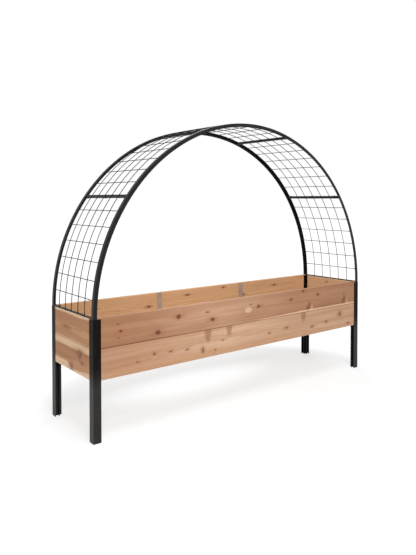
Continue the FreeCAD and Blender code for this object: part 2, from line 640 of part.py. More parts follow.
ledger_screw_places = []
foot_screw_places = []
ledger_face = half_length - size(WALL_INNER) - size("sizes.ledger_wall")
ledger_z = size(BOX_UNDERSIDE) + size(LEDGER_SCREW_RISE)
foot_z = size("sizes.leg_height") + size("sizes.bar_thickness")
for wall, x_side in (("left", -1), ("right", 1)):
    for step in (-1, 0, 1):
        y = step * size(BAR_SCREW_SPACING)
        ledger_screw_places.append(at(x_side * ledger_face, y, ledger_z, THROUGH[wall]))
        foot_screw_places.append(at(x_side * size(BAR_MIDDLE), y, foot_z, DOWNWARDS))
group("ledger_screws", wood_screw, ledger_screw_places)
group("foot_bar_screws", wood_screw, foot_screw_places)

pin_y = -(size(RAIL_FACE) + size("sizes.plaque_thickness"))
pin_z = size(SEAM) + size(PLAQUE_RISE)
pin_places = []
for side in (-1, 1):
    x = size("sizes.plaque_place") + side * size("sizes.pin_spacing") / 2
    pin_places.append(at(x, pin_y, pin_z, THROUGH["rear"]))
group("plaque_pins", plaque_pin, pin_places)

# Bolts pass through both bars of a joint, with the nut on the far side.
grip = 2 * size("sizes.bar_thickness")
nut_height = size("sizes.nut_height")
bolt_radius = size("sizes.bolt_diameter") / 2
bolt_long = grip + nut_height + size("sizes.bolt_end")
bolt_head = hexagon(size("sizes.bolt_head"), size("sizes.bolt_head_height"),
                    -size("sizes.bolt_head_height"))
bolt = bolt_head.fuse(Part.makeCylinder(bolt_radius, bolt_long)).removeSplitter()
nut_bore = Part.makeCylinder(size(BOLT_HOLE) / 2, nut_height)
nut = hexagon(size("sizes.bolt_head"), nut_height, 0).cut(nut_bore)

bolt_places = []
nut_places = []
for joint in range(1, panel_count):
    turn = FreeCAD.Rotation(Y_AXIS, -joint * size(PANEL_ANGLE))
    centre = FreeCAD.Placement(FreeCAD.Vector(0, 0, size("sizes.leg_height")), turn)
    for y in BOLT_PLACES:
        seat = FreeCAD.Vector(size(BAR_MIDDLE), size(y), -size("sizes.bar_thickness"))
        bolt_places.append(centre.multiply(FreeCAD.Placement(seat, NO_TURN)))
        seat = FreeCAD.Vector(size(BAR_MIDDLE), size(y), size("sizes.bar_thickness"))
        nut_places.append(centre.multiply(FreeCAD.Placement(seat, NO_TURN)))
group("trellis_bolts", bolt, bolt_places)
group("trellis_nuts", nut, nut_places)

# ---------------------------------------------------------------- check and write
doc.recompute()
for item in doc.Objects:
    if "Invalid" in item.State or "Error" in item.State:
        raise RuntimeError(item.Label + " did not compute: " + ", ".join(item.State))
for piece in parts:
    if piece.Shape.isNull() or not piece.Shape.isValid():
        raise RuntimeError(piece.Label + " has no valid shape")
for piece in parts:
    piece.Shape.exportStep(f"parts/{piece.Label}.step")
    box = piece.Shape.BoundBox
    print(f"{piece.Label:26s} {len(piece.Shape.Solids):2d} solids {piece.Shape.Volume:12.0f} mm3  "
          f"x {box.XMin:8.1f} {box.XMax:8.1f}  y {box.YMin:7.1f} {box.YMax:7.1f}  "
          f"z {box.ZMin:7.1f} {box.ZMax:7.1f}")
print(len(parts), "pieces")
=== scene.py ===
# %% [markdown]
# # A raised cedar planter with an arched trellis
#
# The object is a long cedar box on four steel corner legs. A half circle of five welded
# mesh panels stands in the legs and spans the box. The measured construction already
# exists as a frame of named pieces at their real size. This lesson gives the frame its
# looks: wood with grain and knots, powder-coated steel, round mesh wires, screws, light.
#
# Everything is in metres, apart from the marks on a board, which are in millimetres from
# its centre. X runs along the box, Y from its front to its rear, Z up.

# %% Load the measured frame
import math

import bmesh
import bpy
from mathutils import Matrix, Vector


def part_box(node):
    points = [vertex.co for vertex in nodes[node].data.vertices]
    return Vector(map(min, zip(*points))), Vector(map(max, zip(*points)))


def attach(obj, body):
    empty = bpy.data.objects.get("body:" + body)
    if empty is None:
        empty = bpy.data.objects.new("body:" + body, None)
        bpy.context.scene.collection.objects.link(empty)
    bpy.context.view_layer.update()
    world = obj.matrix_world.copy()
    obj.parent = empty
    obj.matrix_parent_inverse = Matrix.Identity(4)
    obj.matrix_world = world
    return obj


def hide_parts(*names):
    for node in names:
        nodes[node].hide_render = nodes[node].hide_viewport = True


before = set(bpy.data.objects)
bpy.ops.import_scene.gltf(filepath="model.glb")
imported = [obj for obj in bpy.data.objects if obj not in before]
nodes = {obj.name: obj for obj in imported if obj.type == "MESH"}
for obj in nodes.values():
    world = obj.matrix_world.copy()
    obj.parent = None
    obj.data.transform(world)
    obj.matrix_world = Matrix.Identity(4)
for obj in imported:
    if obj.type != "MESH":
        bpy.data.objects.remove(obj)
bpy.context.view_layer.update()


# %% [markdown]
# ## Camera
#
# The legs, the box's corners and the arch fix where the camera stood: about four metres
# away, a little above the box, 38 degrees round from the front. The upright lines stay
# parallel, so the camera is nearly level and the picture is framed by a lens shift, as
# with a view camera. A tilted camera would frame it too, but the legs would converge.

# %% Place the camera
FRAME_HEIGHT = 555  # pixels along the picture's long side
LENS_AXIS_ROW = 213.8  # picture row that the lens axis falls on
FOCAL_PIXELS = 564.4
SENSOR = 36.0  # millimetres along the long side
EYE = Vector((-2.715, -3.240, 1.420))
YAW = math.radians(38.33)  # from +Y towards +X
PITCH = math.radians(-1.44)


def put(name, data):
    """Puts a new object into the scene."""
    thing = bpy.data.objects.new(name, data)
    bpy.context.scene.collection.objects.link(thing)
    return thing


def place_camera():
    data = bpy.data.cameras.new("photo_camera")
    data.sensor_width = SENSOR
    data.lens = FOCAL_PIXELS / FRAME_HEIGHT * SENSOR
    data.shift_y = (LENS_AXIS_ROW - FRAME_HEIGHT / 2) / FRAME_HEIGHT
    camera = put("photo_camera", data)
    camera.location = EYE
    level = math.cos(PITCH)
    gaze = Vector((math.sin(YAW) * level, math.cos(YAW) * level, math.sin(PITCH)))
    camera.rotation_euler = gaze.to_track_quat("-Z", "Y").to_euler()
    bpy.context.scene.camera = camera
    return camera


camera = place_camera()
bpy.context.scene.view_settings.view_transform = "Standard"
print("lens", round(camera.data.lens, 1), "mm, shift", round(camera.data.shift_y, 3))


# %% [markdown]
# ## Shader maths
#
# Wood is mostly arithmetic: distances, waves and masks. Wiring that by hand is hard to
# read, so one small class wraps a socket and lets sums be written as sums. Everything
# that isn't a sum comes from one method, which takes the node's type, its settings and
# what goes into its sockets.

# %% A socket that can stand in a sum
class Value:
    """One output of a shader. Numbers and other values can be added, multiplied and so on."""

    def __init__(self, shader, socket):
        self.shader = shader
        self.socket = socket

    def __add__(self, other):
        return self.shader.math("ADD", self, other)

    def __sub__(self, other):
        return self.shader.math("SUBTRACT", self, other)

    def __rsub__(self, other):
        return self.shader.math("SUBTRACT", other, self)

    def __mul__(self, other):
        return self.shader.math("MULTIPLY", self, other)

    def __truediv__(self, other):
        return self.shader.math("DIVIDE", self, other)

    def __pow__(self, other):
        return self.shader.math("POWER", self, other)

    __radd__ = __add__
    __rmul__ = __mul__


print("a Value stands in sums with + - * / and **")


# %% The node tree that makes the values
class Shader:
    """The node tree of one finish, or of the world."""

    def __init__(self, owner):
        owner.use_nodes = True
        self.tree = owner.node_tree
        self.tree.nodes.clear()

    def node(self, kind, settings=None, sockets=None, give=0):
        """Adds a node: settings first, then numbers or values for its sockets."""
        made = self.tree.nodes.new("ShaderNode" + kind)
        for name, setting in (settings or {}).items():
            setattr(made, name, setting)
        for name, value in (sockets or {}).items():
            if isinstance(value, Value):
                self.tree.links.new(value.socket, made.inputs[name])
            else:
                made.inputs[name].default_value = value
        return Value(self, made.outputs[give] if len(made.outputs) else None)

    def math(self, operation, *values):
        return self.node("Math", {"operation": operation}, dict(enumerate(values)))

    def vector(self, operation, *values, give=0):
        return self.node("VectorMath", {"operation": operation}, dict(enumerate(values)), give)

    def step(self, value, low, high):
        """0 below low, 1 above high and a smooth rise between. High may be the lower one."""
        return self.node("MapRange", {"interpolation_type": "SMOOTHSTEP"},
                         {0: value, 1: low, 2: high})

    def noise(self, where, stretch, detail=2.0, roughness=0.5):
        """Noise from 0 to 1 about 0.5, with stretch in cells to the metre on each axis."""
        at = self.vector("MULTIPLY", where, stretch)
        return self.node("TexNoise", None, {"Vector": at, "Scale": 1.0, "Detail": detail,
                                            "Roughness": roughness})

    def mix(self, share, one, other):
        """Colour that goes from one to other as share goes from 0 to 1."""
        return self.node("Mix", {"data_type": "RGBA"}, {0: share, 6: one, 7: other}, give=2)

    def parts(self, vector):
        """The three components of a vector."""
        return [self.node("SeparateXYZ", None, {0: vector}, give=axis) for axis in range(3)]

    def surface(self, relief, depth, **sockets):
        """Ends the tree in a Principled surface with a bump of the given depth in metres."""
        normal = self.node("Bump", None, {"Strength": 1.0, "Distance": depth, "Height": relief})
        named = {name.replace("_", " "): value for name, value in sockets.items()}
        lit = self.node("BsdfPrincipled", None, {**named, "Normal": normal})
        self.node("OutputMaterial", None, {"Surface": lit})


def new_finish(name):
    """A material, its empty shader, and the place on the surface."""
    material = bpy.data.materials.new(name)
    shader = Shader(material)
    return material, shader, shader.node("TexCoord", give="Object")


def paint(red, green, blue):
    """Linear light, as shaders use it, for the 0 to 255 numbers of a picture (sRGB curve)."""
    shares = [number / 255 for number in (red, green, blue)]
    linear = [((c + 0.055) / 1.055) ** 2.4 if c > 0.04 else c / 12.92 for c in shares]
    return (*linear, 1.0)


print("cedar tan in linear light:", [round(c, 3) for c in paint(190, 140, 105)[:3]])


# %% [markdown]
# ## Floor, world and lamps
#
# A product photograph like this is shot on a white sweep: floor and background both reach
# paper white, and only soft shadows show. The background white is what the camera and
# reflections see; the light that falls on the object is set apart from it at a plain
# level, so a colour renders about as it is written.
#
# The floor has to stay white and still show a faint shadow. To the camera it is part
# paper, which holds the shadow, and part glow, which holds the white. Away from the object
# the glow takes over, so the floor ends in white without a horizon. The photograph's
# shadow is a ring, darker towards the legs and nearly white under the middle of the box,
# so a second pool of glow lies in the middle: painted light in the object's shadow.

# %% White surroundings
WHITE = (1.0, 1.0, 1.0, 1.0)
SKY_LIGHT = 0.32  # of paper white, from every side
PAPER = (0.915, 0.93, 0.938, 1.0)  # a little cool, against the warm light off the wood
FLOOR_SIDE = 60.0
FLOOR_GLOW = 1.08  # makes up for what the paper takes away
GLOW_NEAR = 0.62  # share of glow next to the object
SHADOW_SIZE = (1.30, 1.00)  # half axes of the ellipse that holds the shadow
SHADOW_FADE = (0.95, 1.27)  # where it fades, in half axes
# the pool is painted light: more glow in the middle of the object's shadow
POOL_CENTRE = (-0.12, 0.26)
POOL_SIZE = (0.80, 0.26)  # half axes of the pool of glow in its middle
POOL_FADE = (1.35, 0.35)  # where the pool rises, in half axes
POOL_SHARE = 0.70  # how far it rises


def seen_directly(shader):
    """1 for the camera, and for what a reflection or a view through glass shows."""
    camera, glossy, through = [shader.node("LightPath", give=name) for name in
                               ("Is Camera Ray", "Is Glossy Ray", "Is Transmission Ray")]
    return shader.math("MINIMUM", camera + glossy + through, 1.0)


def make_world():
    world = bpy.data.worlds.new("studio")
    bpy.context.scene.world = world
    shader = Shader(world)
    strength = SKY_LIGHT + (1.0 - SKY_LIGHT) * seen_directly(shader)
    background = shader.node("Background", None, {"Color": WHITE, "Strength": strength})
    shader.node("OutputWorld", None, {"Surface": background})


def ellipse(shader, where, centre, size):
    """Distance from the centre of a level ellipse, in its half axes."""
    scale = (1 / size[0], 1 / size[1], 0.0)
    offset = (-centre[0] / size[0], -centre[1] / size[1], 0.0)
    return shader.vector("LENGTH", shader.vector("MULTIPLY_ADD", where, scale, offset), give="Value")


def make_floor():
    mesh = bpy.data.meshes.new("floor")
    half = FLOOR_SIDE / 2
    corners = [(-half, -half, 0), (half, -half, 0), (half, half, 0), (-half, half, 0)]
    mesh.from_pydata(corners, [], [(0, 1, 2, 3)])
    floor = put("floor", mesh)
    material, shader, where = new_finish("white_sweep")
    away = ellipse(shader, where, (0.0, 0.0), SHADOW_SIZE)
    inside = ellipse(shader, where, POOL_CENTRE, POOL_SIZE)
    # painted light: the pool lifts the glow in the middle of the shadow
    pool = POOL_SHARE * shader.step(inside, *POOL_FADE)
    glow = shader.math("MAXIMUM", shader.step(away, *SHADOW_FADE), pool)
    glow_share = GLOW_NEAR + (1.0 - GLOW_NEAR) * glow
    paper = shader.node("BsdfDiffuse", None, {"Color": PAPER})
    white = shader.node("Emission", None, {"Color": WHITE, "Strength": FLOOR_GLOW})
    share = glow_share * seen_directly(shader)
    surface = shader.node("MixShader", None, {0: share, 1: paper, 2: white})
    shader.node("OutputMaterial", None, {"Surface": surface})
    mesh.materials.append(material)


make_world()
make_floor()
print("floor keeps", round(1 - GLOW_NEAR, 2), "of the shadow next to the object")


# %% Soft lamps
TARGET = Vector((0.0, 0.0, 0.8))


def softbox(name, place, side, power):
    """Square lamp that faces the middle of the object."""
    data = bpy.data.lights.new(name, "AREA")
    data.size = side
    data.energy = power
    lamp = put(name, data)
    lamp.location = place
    beam = TARGET - Vector(place)
    lamp.rotation_euler = beam.to_track_quat("-Z", "Y").to_euler()
    print(name, "at", round(beam.length, 1), "m")


softbox("key_lamp", place=(-2.9, -4.9, 4.2), side=3.0, power=235.0)
softbox("rear_fill", place=(3.5, 4.5, 4.0), side=3.0, power=70.0)
softbox("top_lamp", place=(-0.8, -1.7, 5.2), side=2.2, power=120.0)


# %% [markdown]
# ## Cedar
#
# The boards are flat-sawn red cedar, oiled but not stained. A board is a slice of a trunk,
# so its pattern is a slice of rings: the shader measures how far a point lies from a pith
# line that wanders slowly along the board, and each few millimetres of that distance is
# a year: pale early wood that darkens towards a thin late line. Where the pith line comes
# near the face, the rings open into the tall arches that flat-sawn boards show.
#
# Knots are branches. Each is a dark core with a darker rim and a red halo drawn out along
# the grain, and the rings bend round it, which is done by adding a hump to the ring count.
# The knots that show in the picture are placed one by one; a noise could scatter them, but
# it would never put the row of pin knots or the long spikes where this planter has them.
#
# All of it is solid: it is measured inside the board, so the grain on the top edge
# continues the grain on the face.

# %% Wood colours shared by all boards
HEART = paint(150, 103, 71)
SAPWOOD = paint(238, 202, 164)
LATE_WOOD = paint(150, 97, 62)
CHECK = paint(96, 58, 36)  # pores and hair-fine checks
KNOT_CORE = paint(106, 63, 40)
KNOT_RIM = paint(76, 45, 30)
KNOT_HALO = paint(160, 102, 70)
SPIKE_TONE = paint(146, 98, 68)
# painted shade for the seam between two boards
SEAM_SHADE_TONE = paint(92, 50, 30)
print("sapwood in linear light:", [round(c, 3) for c in SAPWOOD[:3]])


# %% [markdown]
# ### A board's own axes
#
# Grain runs along a board, whichever way the board points. So every board measures from
# its own centre: along, up and through. Its noises are drawn out along the grain, with a
# few cells to the metre that way and up to hundreds across it. A seed takes each board
# from another place in the noise, so no two share a pattern.

# %% Axes and noises of a board
PLANES = {"x": (0, 2, 1), "y": (1, 2, 0), "floor": (0, 1, 2)}  # axes along, up and through
SEED_STEP = (3.7, 1.3, 0.7)  # metres from one board's noise to the next


class Board:
    """The shader of one board, its own axes, and the noises that its masks share."""

    def __init__(self, name, plane, seed):
        low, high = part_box(name)
        along_axis, up_axis, through_axis = PLANES[plane]
        self.half_up = (high - low)[up_axis] / 2
        self.material, shader, where = new_finish("cedar_" + name)
        self.shader = shader
        axes = shader.parts(shader.vector("SUBTRACT", where, (low + high) / 2))
        self.along = axes[along_axis]
        self.up = axes[up_axis]
        self.through = axes[through_axis]
        self.local = shader.node("CombineXYZ", None, {0: self.along, 1: self.up, 2: self.through})
        own = shader.vector("ADD", self.local, tuple(seed * step for step in SEED_STEP))
        self.ragged = shader.noise(own, (60.0, 140.0, 60.0), 2.0) - 0.5    # frays the knots
        self.drift = shader.noise(own, (1.3, 0.4, 0.4), 1.0) - 0.5         # bends the pith line
        self.wobble = shader.noise(own, (4.5, 26.0, 26.0), 3.0) - 0.5      # shakes rings, borders
        self.streaks = shader.step(shader.noise(own, (0.7, 17.0, 9.0), 4.0, 0.55), 0.33, 0.67)
        self.stretches = shader.step(shader.noise(own, (1.6, 4.0, 4.0), 1.0), 0.36, 0.64)
        self.fine = shader.noise(own, (3.0, 120.0, 120.0), 2.0)
        self.fibres = shader.noise(own, (14.0, 620.0, 620.0), 2.0, 0.6)
        self.flecks = shader.step(shader.noise(own, (22.0, 330.0, 330.0), 1.0), 0.69, 0.78)


print("front boards run along axis", PLANES["x"][0], "and end boards along axis", PLANES["y"][0])


# %% [markdown]
# ### Tones
#
# A board isn't one brown. Streaks of a pale and a deep tone run through it, painted shade
# deepens it towards its ends, and cream sapwood lies against brown heartwood along a border
# that wavers. A colour ramp over the height would give straight bands of one width, so each
# zone is given instead as the wood above or below a line between two points, which a
# noise shakes.

# %% Zones of another tone
MM = 0.001
ABOVE = 1
BELOW = -1
SWAY = 3  # how far a border wavers, in its own softness
MOST_SWAY = 0.03  # metres


def zone(tone, side, start, end, share=0.8, soft=10):
    """Wood above or below a border from start to end, each (along, up), in millimetres."""
    return {"tone": tone, "side": side, "start": start, "end": end, "share": share, "soft": soft}


def lay_zone(board, colour, zone):
    start, low, end, high, soft = [MM * size for size in (*zone["start"], *zone["end"], zone["soft"])]
    border = low + (high - low) * board.shader.step(board.along, start, end)
    sway = min(SWAY * soft, MOST_SWAY) * board.wobble
    mask = board.shader.step(zone["side"] * (board.up - border) + sway, -soft / 2, soft / 2)
    return board.shader.mix(zone["share"] * mask, colour, zone["tone"])


print("a zone keeps", ", ".join(zone(SAPWOOD, ABOVE, (-1000, 50), (1000, 60))))


# %% Tones of a whole board
# the ends are darkened towards the legs: painted shade
END_SHADE_LEFT = (-0.20, -1.35)  # places along: where it starts, where it is full
END_SHADE_RIGHT = (-0.30, 0.60)
MID_BOARD = (-0.002, 0.002)  # depths between which the painted light of the inner face sets in
STREAK_SHARE = 0.7


def lay_tones(board, pale, deep, ends, zones, inside):
    """Streaks of two browns, ends deepened by painted shade, zones, and painted light on the face inside
    the box.
    """
    shader = board.shader
    streaks = STREAK_SHARE * board.streaks + (1 - STREAK_SHARE) * board.stretches
    colour = shader.mix(streaks, deep, pale)
    # painted shade towards the legs deepens the ends
    for share, places in zip(ends, (END_SHADE_LEFT, END_SHADE_RIGHT)):
        if share:
            colour = shader.mix(share * shader.step(board.along, *places), colour, HEART)
    for each in zones:
        colour = lay_zone(board, colour, each)
    # painted light: the face inside the box is lifted to a paler tone
    if inside:
        direction, share, tone = inside
        inside_light = shader.step(direction * board.through, *MID_BOARD)
        colour = shader.mix(share * inside_light, colour, tone)
    return colour


print("a board deepens from", END_SHADE_LEFT[0], "to", END_SHADE_LEFT[1], "m on the left")


# %% [markdown]
# ### Knots
#
# A knot's shape is the distance to its middle, counted in its own radii: below one is
# knot and above it is wood. Counted that way, one set of edges serves small and large
# knots. A board with many knots needs no more than the distance to the nearest one.

# %% Distance to the nearest knot
FAR = 9.0  # stands for no knot near, in knot radii


def nearest(shader, local, marks, stretch):
    """Distance to the nearest mark, in its own radii, drawn out along the grain by stretch."""
    closest = FAR
    for mark in marks:
        along, up, wide, tall = [MM * size for size in mark]
        scale = (1 / (wide * stretch), 1 / tall, 0.0)
        offset = (-along / (wide * stretch), -up / tall, 0.0)
        scaled = shader.vector("MULTIPLY_ADD", local, scale, offset)
        reach = shader.vector("LENGTH", scaled, give="Value")
        closest = shader.math("MINIMUM", closest, reach)
    return closest


print("no knot near counts as", FAR, "radii away")


# %% Core, rim, halo and hump
KNOT_STRETCH = 1.15
HALO_STRETCH = 2.6
KNOT_FRAY = 0.9  # how far noise moves a knot's edges, in its radii
HALO_FRAY = 0.8
HUMP_REACH = 0.8
CORE_EDGE = (1.15, 0.45)  # these edges are in knot radii
RIM_INNER_EDGE = (0.50, 0.82)
RIM_OUTER_EDGE = (1.25, 0.90)
HALO_EDGE = (2.3, 0.3)


def knot_masks(board, knots):
    """Core, rim and halo from 0 to 1, and the hump by which the rings bend round a knot."""
    shader = board.shader
    near = nearest(shader, board.local, knots, KNOT_STRETCH) + KNOT_FRAY * board.ragged
    far = nearest(shader, board.local, knots, HALO_STRETCH)
    core = shader.step(near, *CORE_EDGE)
    rim = shader.step(near, *RIM_INNER_EDGE) * shader.step(near, *RIM_OUTER_EDGE)
    halo = shader.step(far + HALO_FRAY * board.ragged, *HALO_EDGE)
    hump = shader.math("EXPONENT", 0.0 - (far * HUMP_REACH) ** 2.0)
    return core, rim, halo, hump


print("a halo ends", round(HALO_EDGE[0] * HALO_STRETCH, 1), "knot radii along the grain")


# %% Spikes, and pale flares beside knots
SPIKE_EDGE = (1.10, 0.55)  # in half sizes of the mark
FLARE_EDGE = (1.40, 0.30)
MARK_FRAY = 0.5  # how far noise moves those edges
FLARE_SHARE = 0.30


def mark_mask(board, local, marks, edge):
    frayed = nearest(board.shader, local, marks, 1.0) + MARK_FRAY * board.ragged
    return board.shader.step(frayed, *edge)


def lay_marks(board, colour, flares, spikes, lean, spike_tone):
    """Flares lighten the wood. Spikes darken it, and lean away from their lower end."""
    shader = board.shader
    if flares:
        flare = mark_mask(board, board.local, flares, FLARE_EDGE)
        colour = shader.mix(FLARE_SHARE * flare, colour, SAPWOOD)
    if spikes:
        leaned = board.along - lean * (board.up + board.half_up)
        local = shader.node("CombineXYZ", None, {0: leaned, 1: board.up})
        spike = mark_mask(board, local, spikes, SPIKE_EDGE)
        colour = shader.mix(spike * (0.62 + 0.4 * (board.fine - 0.4)), colour, spike_tone)
    return colour


print("a flare takes", FLARE_SHARE, "of the sapwood's colour")


# %% [markdown]
# ### Rings, grain and edges
#
# The ring count is the distance from the pith line over the width of a year, and its
# fraction says how far the year has come. Finer than the rings are long fibres and short
# open pores, which also carry the roughness and the bump. Last come the edges: a painted
# highlight makes the upper one pale, and painted shade darkens the lower one where two boards meet.

# %% Growth rings and fibres
YEAR = 0.0042  # metres that the trunk grew in a year
PITH_DRIFT = 0.22  # metres, times the drift noise
LATE_RISE = (0.35, 0.93)  # shares of a year in which the late wood darkens
LATE_END = (1.0, 0.95)
YEAR_SHAKE = 1.5  # years by which the wobble shifts the rings
YEAR_HUMP = 2.4  # years by which a knot does


def late_wood(board, pith, hump):
    """1 in the late wood that ends a year, and 0 in the early wood."""
    shader = board.shader
    height = board.up - MM * pith[0] - PITH_DRIFT * board.drift
    depth = board.through - MM * pith[1]
    trunk = shader.math("SQRT", height * height + depth * depth)
    year = shader.math("FRACT", trunk / YEAR + YEAR_SHAKE * board.wobble + YEAR_HUMP * hump)
    return shader.step(year, *LATE_RISE) * shader.step(year, *LATE_END)


def lay_grain(board, colour, late):
    """Late wood, fine grain, fibres and pores, each with its share of a tone."""
    fine = board.shader.step(board.fine, 0.45, 0.75)
    fibres = board.shader.step(board.fibres, 0.40, 0.80)
    for mask, share, tone in ((late, 0.27, LATE_WOOD), (fine, 0.20, LATE_WOOD),
                              (fibres, 0.15, KNOT_HALO), (board.flecks, 0.40, CHECK)):
        colour = board.shader.mix(share * mask, colour, tone)
    return colour


print("a board 184 mm high cuts", round(0.184 / YEAR), "years")


# %% Upper and lower edge
EDGE_HIGHLIGHT_BAND = (0.0065, 0.0030)  # painted highlight, metres below the upper edge: start, full
SEAM_SHADE_BAND = (0.0070, 0.0045)  # painted shade, metres above the lower edge: start, full
SEAM_CHANGE = (-0.1, 0.7)  # places along: the left's painted seam shade becomes the right's


def lay_edges(board, colour, edge_highlight, seam):
    shader = board.shader
    # painted highlight on the upper edge, painted shade in the seam along the lower edge
    top = shader.step(board.up, board.half_up - EDGE_HIGHLIGHT_BAND[0], board.half_up - EDGE_HIGHLIGHT_BAND[1])
    foot = shader.step(board.up, SEAM_SHADE_BAND[0] - board.half_up, SEAM_SHADE_BAND[1] - board.half_up)
    seam_shade = seam[0] + (seam[1] - seam[0]) * shader.step(board.along, *SEAM_CHANGE)
    colour = shader.mix(top * edge_highlight, colour, SAPWOOD)
    return shader.mix(foot * seam_shade, colour, SEAM_SHADE_TONE)


# the pale upper edge is a painted highlight
print("edges are worn over", 1000 * EDGE_HIGHLIGHT_BAND[0], "mm")


# %% One finish for each board
GRAIN_DEPTH = 0.00035  # metres of bump
OILED_GLOSS = 0.22


def dress(node, material):
    """Gives a measured piece its finish."""
    slots = nodes[node].data.materials
    slots.clear()
    slots.append(material)


def cedar(name, plane, pale, deep, seed, knots, spikes=(), flares=(), zones=(), ends=(0.0, 0.0),
          inside=(), pith=(0, -60), edge_highlight=0.3, seam=(0.0, 0.0), lean=0.0, dark=1.0,
          spike_tone=SPIKE_TONE):
    """Cedar for one board.

    knots, spikes and flares (pale wood beside a knot) are (along, up, half width, half
    height), in millimetres from the board's centre.
    ends: how much painted shade deepens the board to the left and to the right.
    inside: (direction, share, tone) of the painted light on the face that looks into the box.
    pith: height and depth of the rings' centre, in millimetres.
    edge_highlight: painted highlight, how pale the upper edge is. seam: painted shade, how dark the lower
    edge is on the left and on the right.
    lean: how far spikes lean along the board, as a slope. dark: how dark the knots are.
    """
    board = Board(name, plane, seed)
    shader = board.shader
    core, rim, halo, hump = knot_masks(board, knots)
    late = late_wood(board, pith, hump)
    colour = lay_tones(board, pale, deep, ends, zones, inside)
    colour = lay_grain(board, colour, late)
    colour = lay_marks(board, colour, flares, spikes, lean, spike_tone)
    for mask, share, tone in ((halo, 0.62, KNOT_HALO), (core, 0.85 * dark, KNOT_CORE),
                              (rim, 0.55 * dark, KNOT_RIM)):
        colour = shader.mix(mask * share, colour, tone)
    colour = lay_edges(board, colour, edge_highlight, seam)

    roughness = 0.60 + 0.14 * (board.fibres - 0.5) - 0.10 * late - 0.14 * core
    ridges = 0.35 * board.fibres + 0.30 * (1.0 - late) + 0.25 * core
    relief = ridges - 0.6 * board.flecks + 0.2 * board.fine
    shader.surface(relief, GRAIN_DEPTH, Base_Color=colour, Roughness=roughness,
                   Specular_IOR_Level=OILED_GLOSS)
    dress(name, board.material)
    print(f"{name:18s} {len(shader.tree.nodes)} nodes, {len(knots)} knots, {len(spikes)} spikes")


# %% [markdown]
# ### The front boards
#
# The upper front board is pinkish brown with a dozen round knots and two dark smears, and
# is darkened towards its ends by painted shade; on the right a thin pale strip along its
# lower edge is a painted highlight on the seam. The lower board is paler and carries a row of
# pin knots and three long spikes: branches that the saw cut lengthwise, broad at the seam and
# pointed below. The smears are such spikes too, short and leaning. Their places were read off
# the picture.

# %% Front boards
TAN = paint(196, 150, 112)
# a painted highlight along the seam under the upper front board
SEAM_HIGHLIGHT_STRIP = paint(238, 198, 168)
DEEP_SPIKE = paint(112, 68, 44)

cedar("front_upper_board", "x", paint(203, 162, 133), paint(160, 116, 88), seed=1,
      knots=((-1065, 42, 5, 4), (-1048, -2, 9, 8), (-1063, -42, 5, 4), (-784, -50, 15, 14),
             (-626, 30, 15, 14), (-388, 30, 7, 6), (-345, -25, 14, 12), (4, 36, 5, 4), (78, 15, 12, 10),
             (415, 25, 11, 9), (552, 76, 11, 9), (720, 33, 11, 10), (1043, 4, 7, 6)),
      spikes=((595, -48, 26, 36), (1020, -42, 26, 36)), lean=0.45,
      spike_tone=DEEP_SPIKE,
      flares=((652, -70, 13, 34), (1086, -66, 12, 34), (48, 20, 24, 8)),
      zones=(zone(HEART, ABOVE, (-1000, 60), (1000, 56), 0.22, 20),
             zone(SEAM_HIGHLIGHT_STRIP, BELOW, (-400, -94), (600, -73.5), 0.85, 4)),
      ends=(0.70, 0.62), pith=(20, -55), edge_highlight=0.0, dark=1.12, seam=(0.72, 0.65))
cedar("front_lower_board", "x", paint(219, 183, 154), paint(192, 150, 118), seed=2,
      knots=((-933, -25, 6, 5), (-810, 3, 6, 10), (-686, -2, 8, 7), (-556, -10, 7, 6),
             (-428, -36, 6, 17), (-322, -52, 4, 6), (-255, 5, 6, 5), (189, -12, 7, 6), (367, 2, 9, 8),
             (654, -30, 11, 9), (822, -13, 9, 8), (992, 28, 11, 17), (1102, -63, 9, 8)),
      spikes=((-385, 91.5, 35, 96), (-198, 91.5, 31, 80), (556, 91.5, 34, 78)),
      zones=(zone(TAN, BELOW, (-1000, -45), (1000, -55), 0.45, 20),),
      ends=(0.56, 0.24), pith=(-10, -70), edge_highlight=0.1, dark=0.8)


# %% [markdown]
# ### The other walls and the floor
#
# The rear and right boards' faces inside the box are painted paler and yellower: painted
# light. The left end shows the heart of its log: brown wood between two bands of cream
# sapwood, of which the lower one ends at a knot. The rear and right outsides don't show, so
# they have boards of the same log, with a few knots each and no two alike. The floor's slats are narrower
# boards of it.

# %% Rear and end boards
# painted light for the rear boards' faces inside the box
INSIDE_LIGHT_REAR = paint(238, 193, 143)
CREAM = paint(250, 213, 174)
# painted light for the right boards' faces inside the box
INSIDE_LIGHT_RIGHT = paint(233, 192, 150)
BROWN = paint(180, 124, 86)
PINK_BROWN = paint(220, 166, 126)

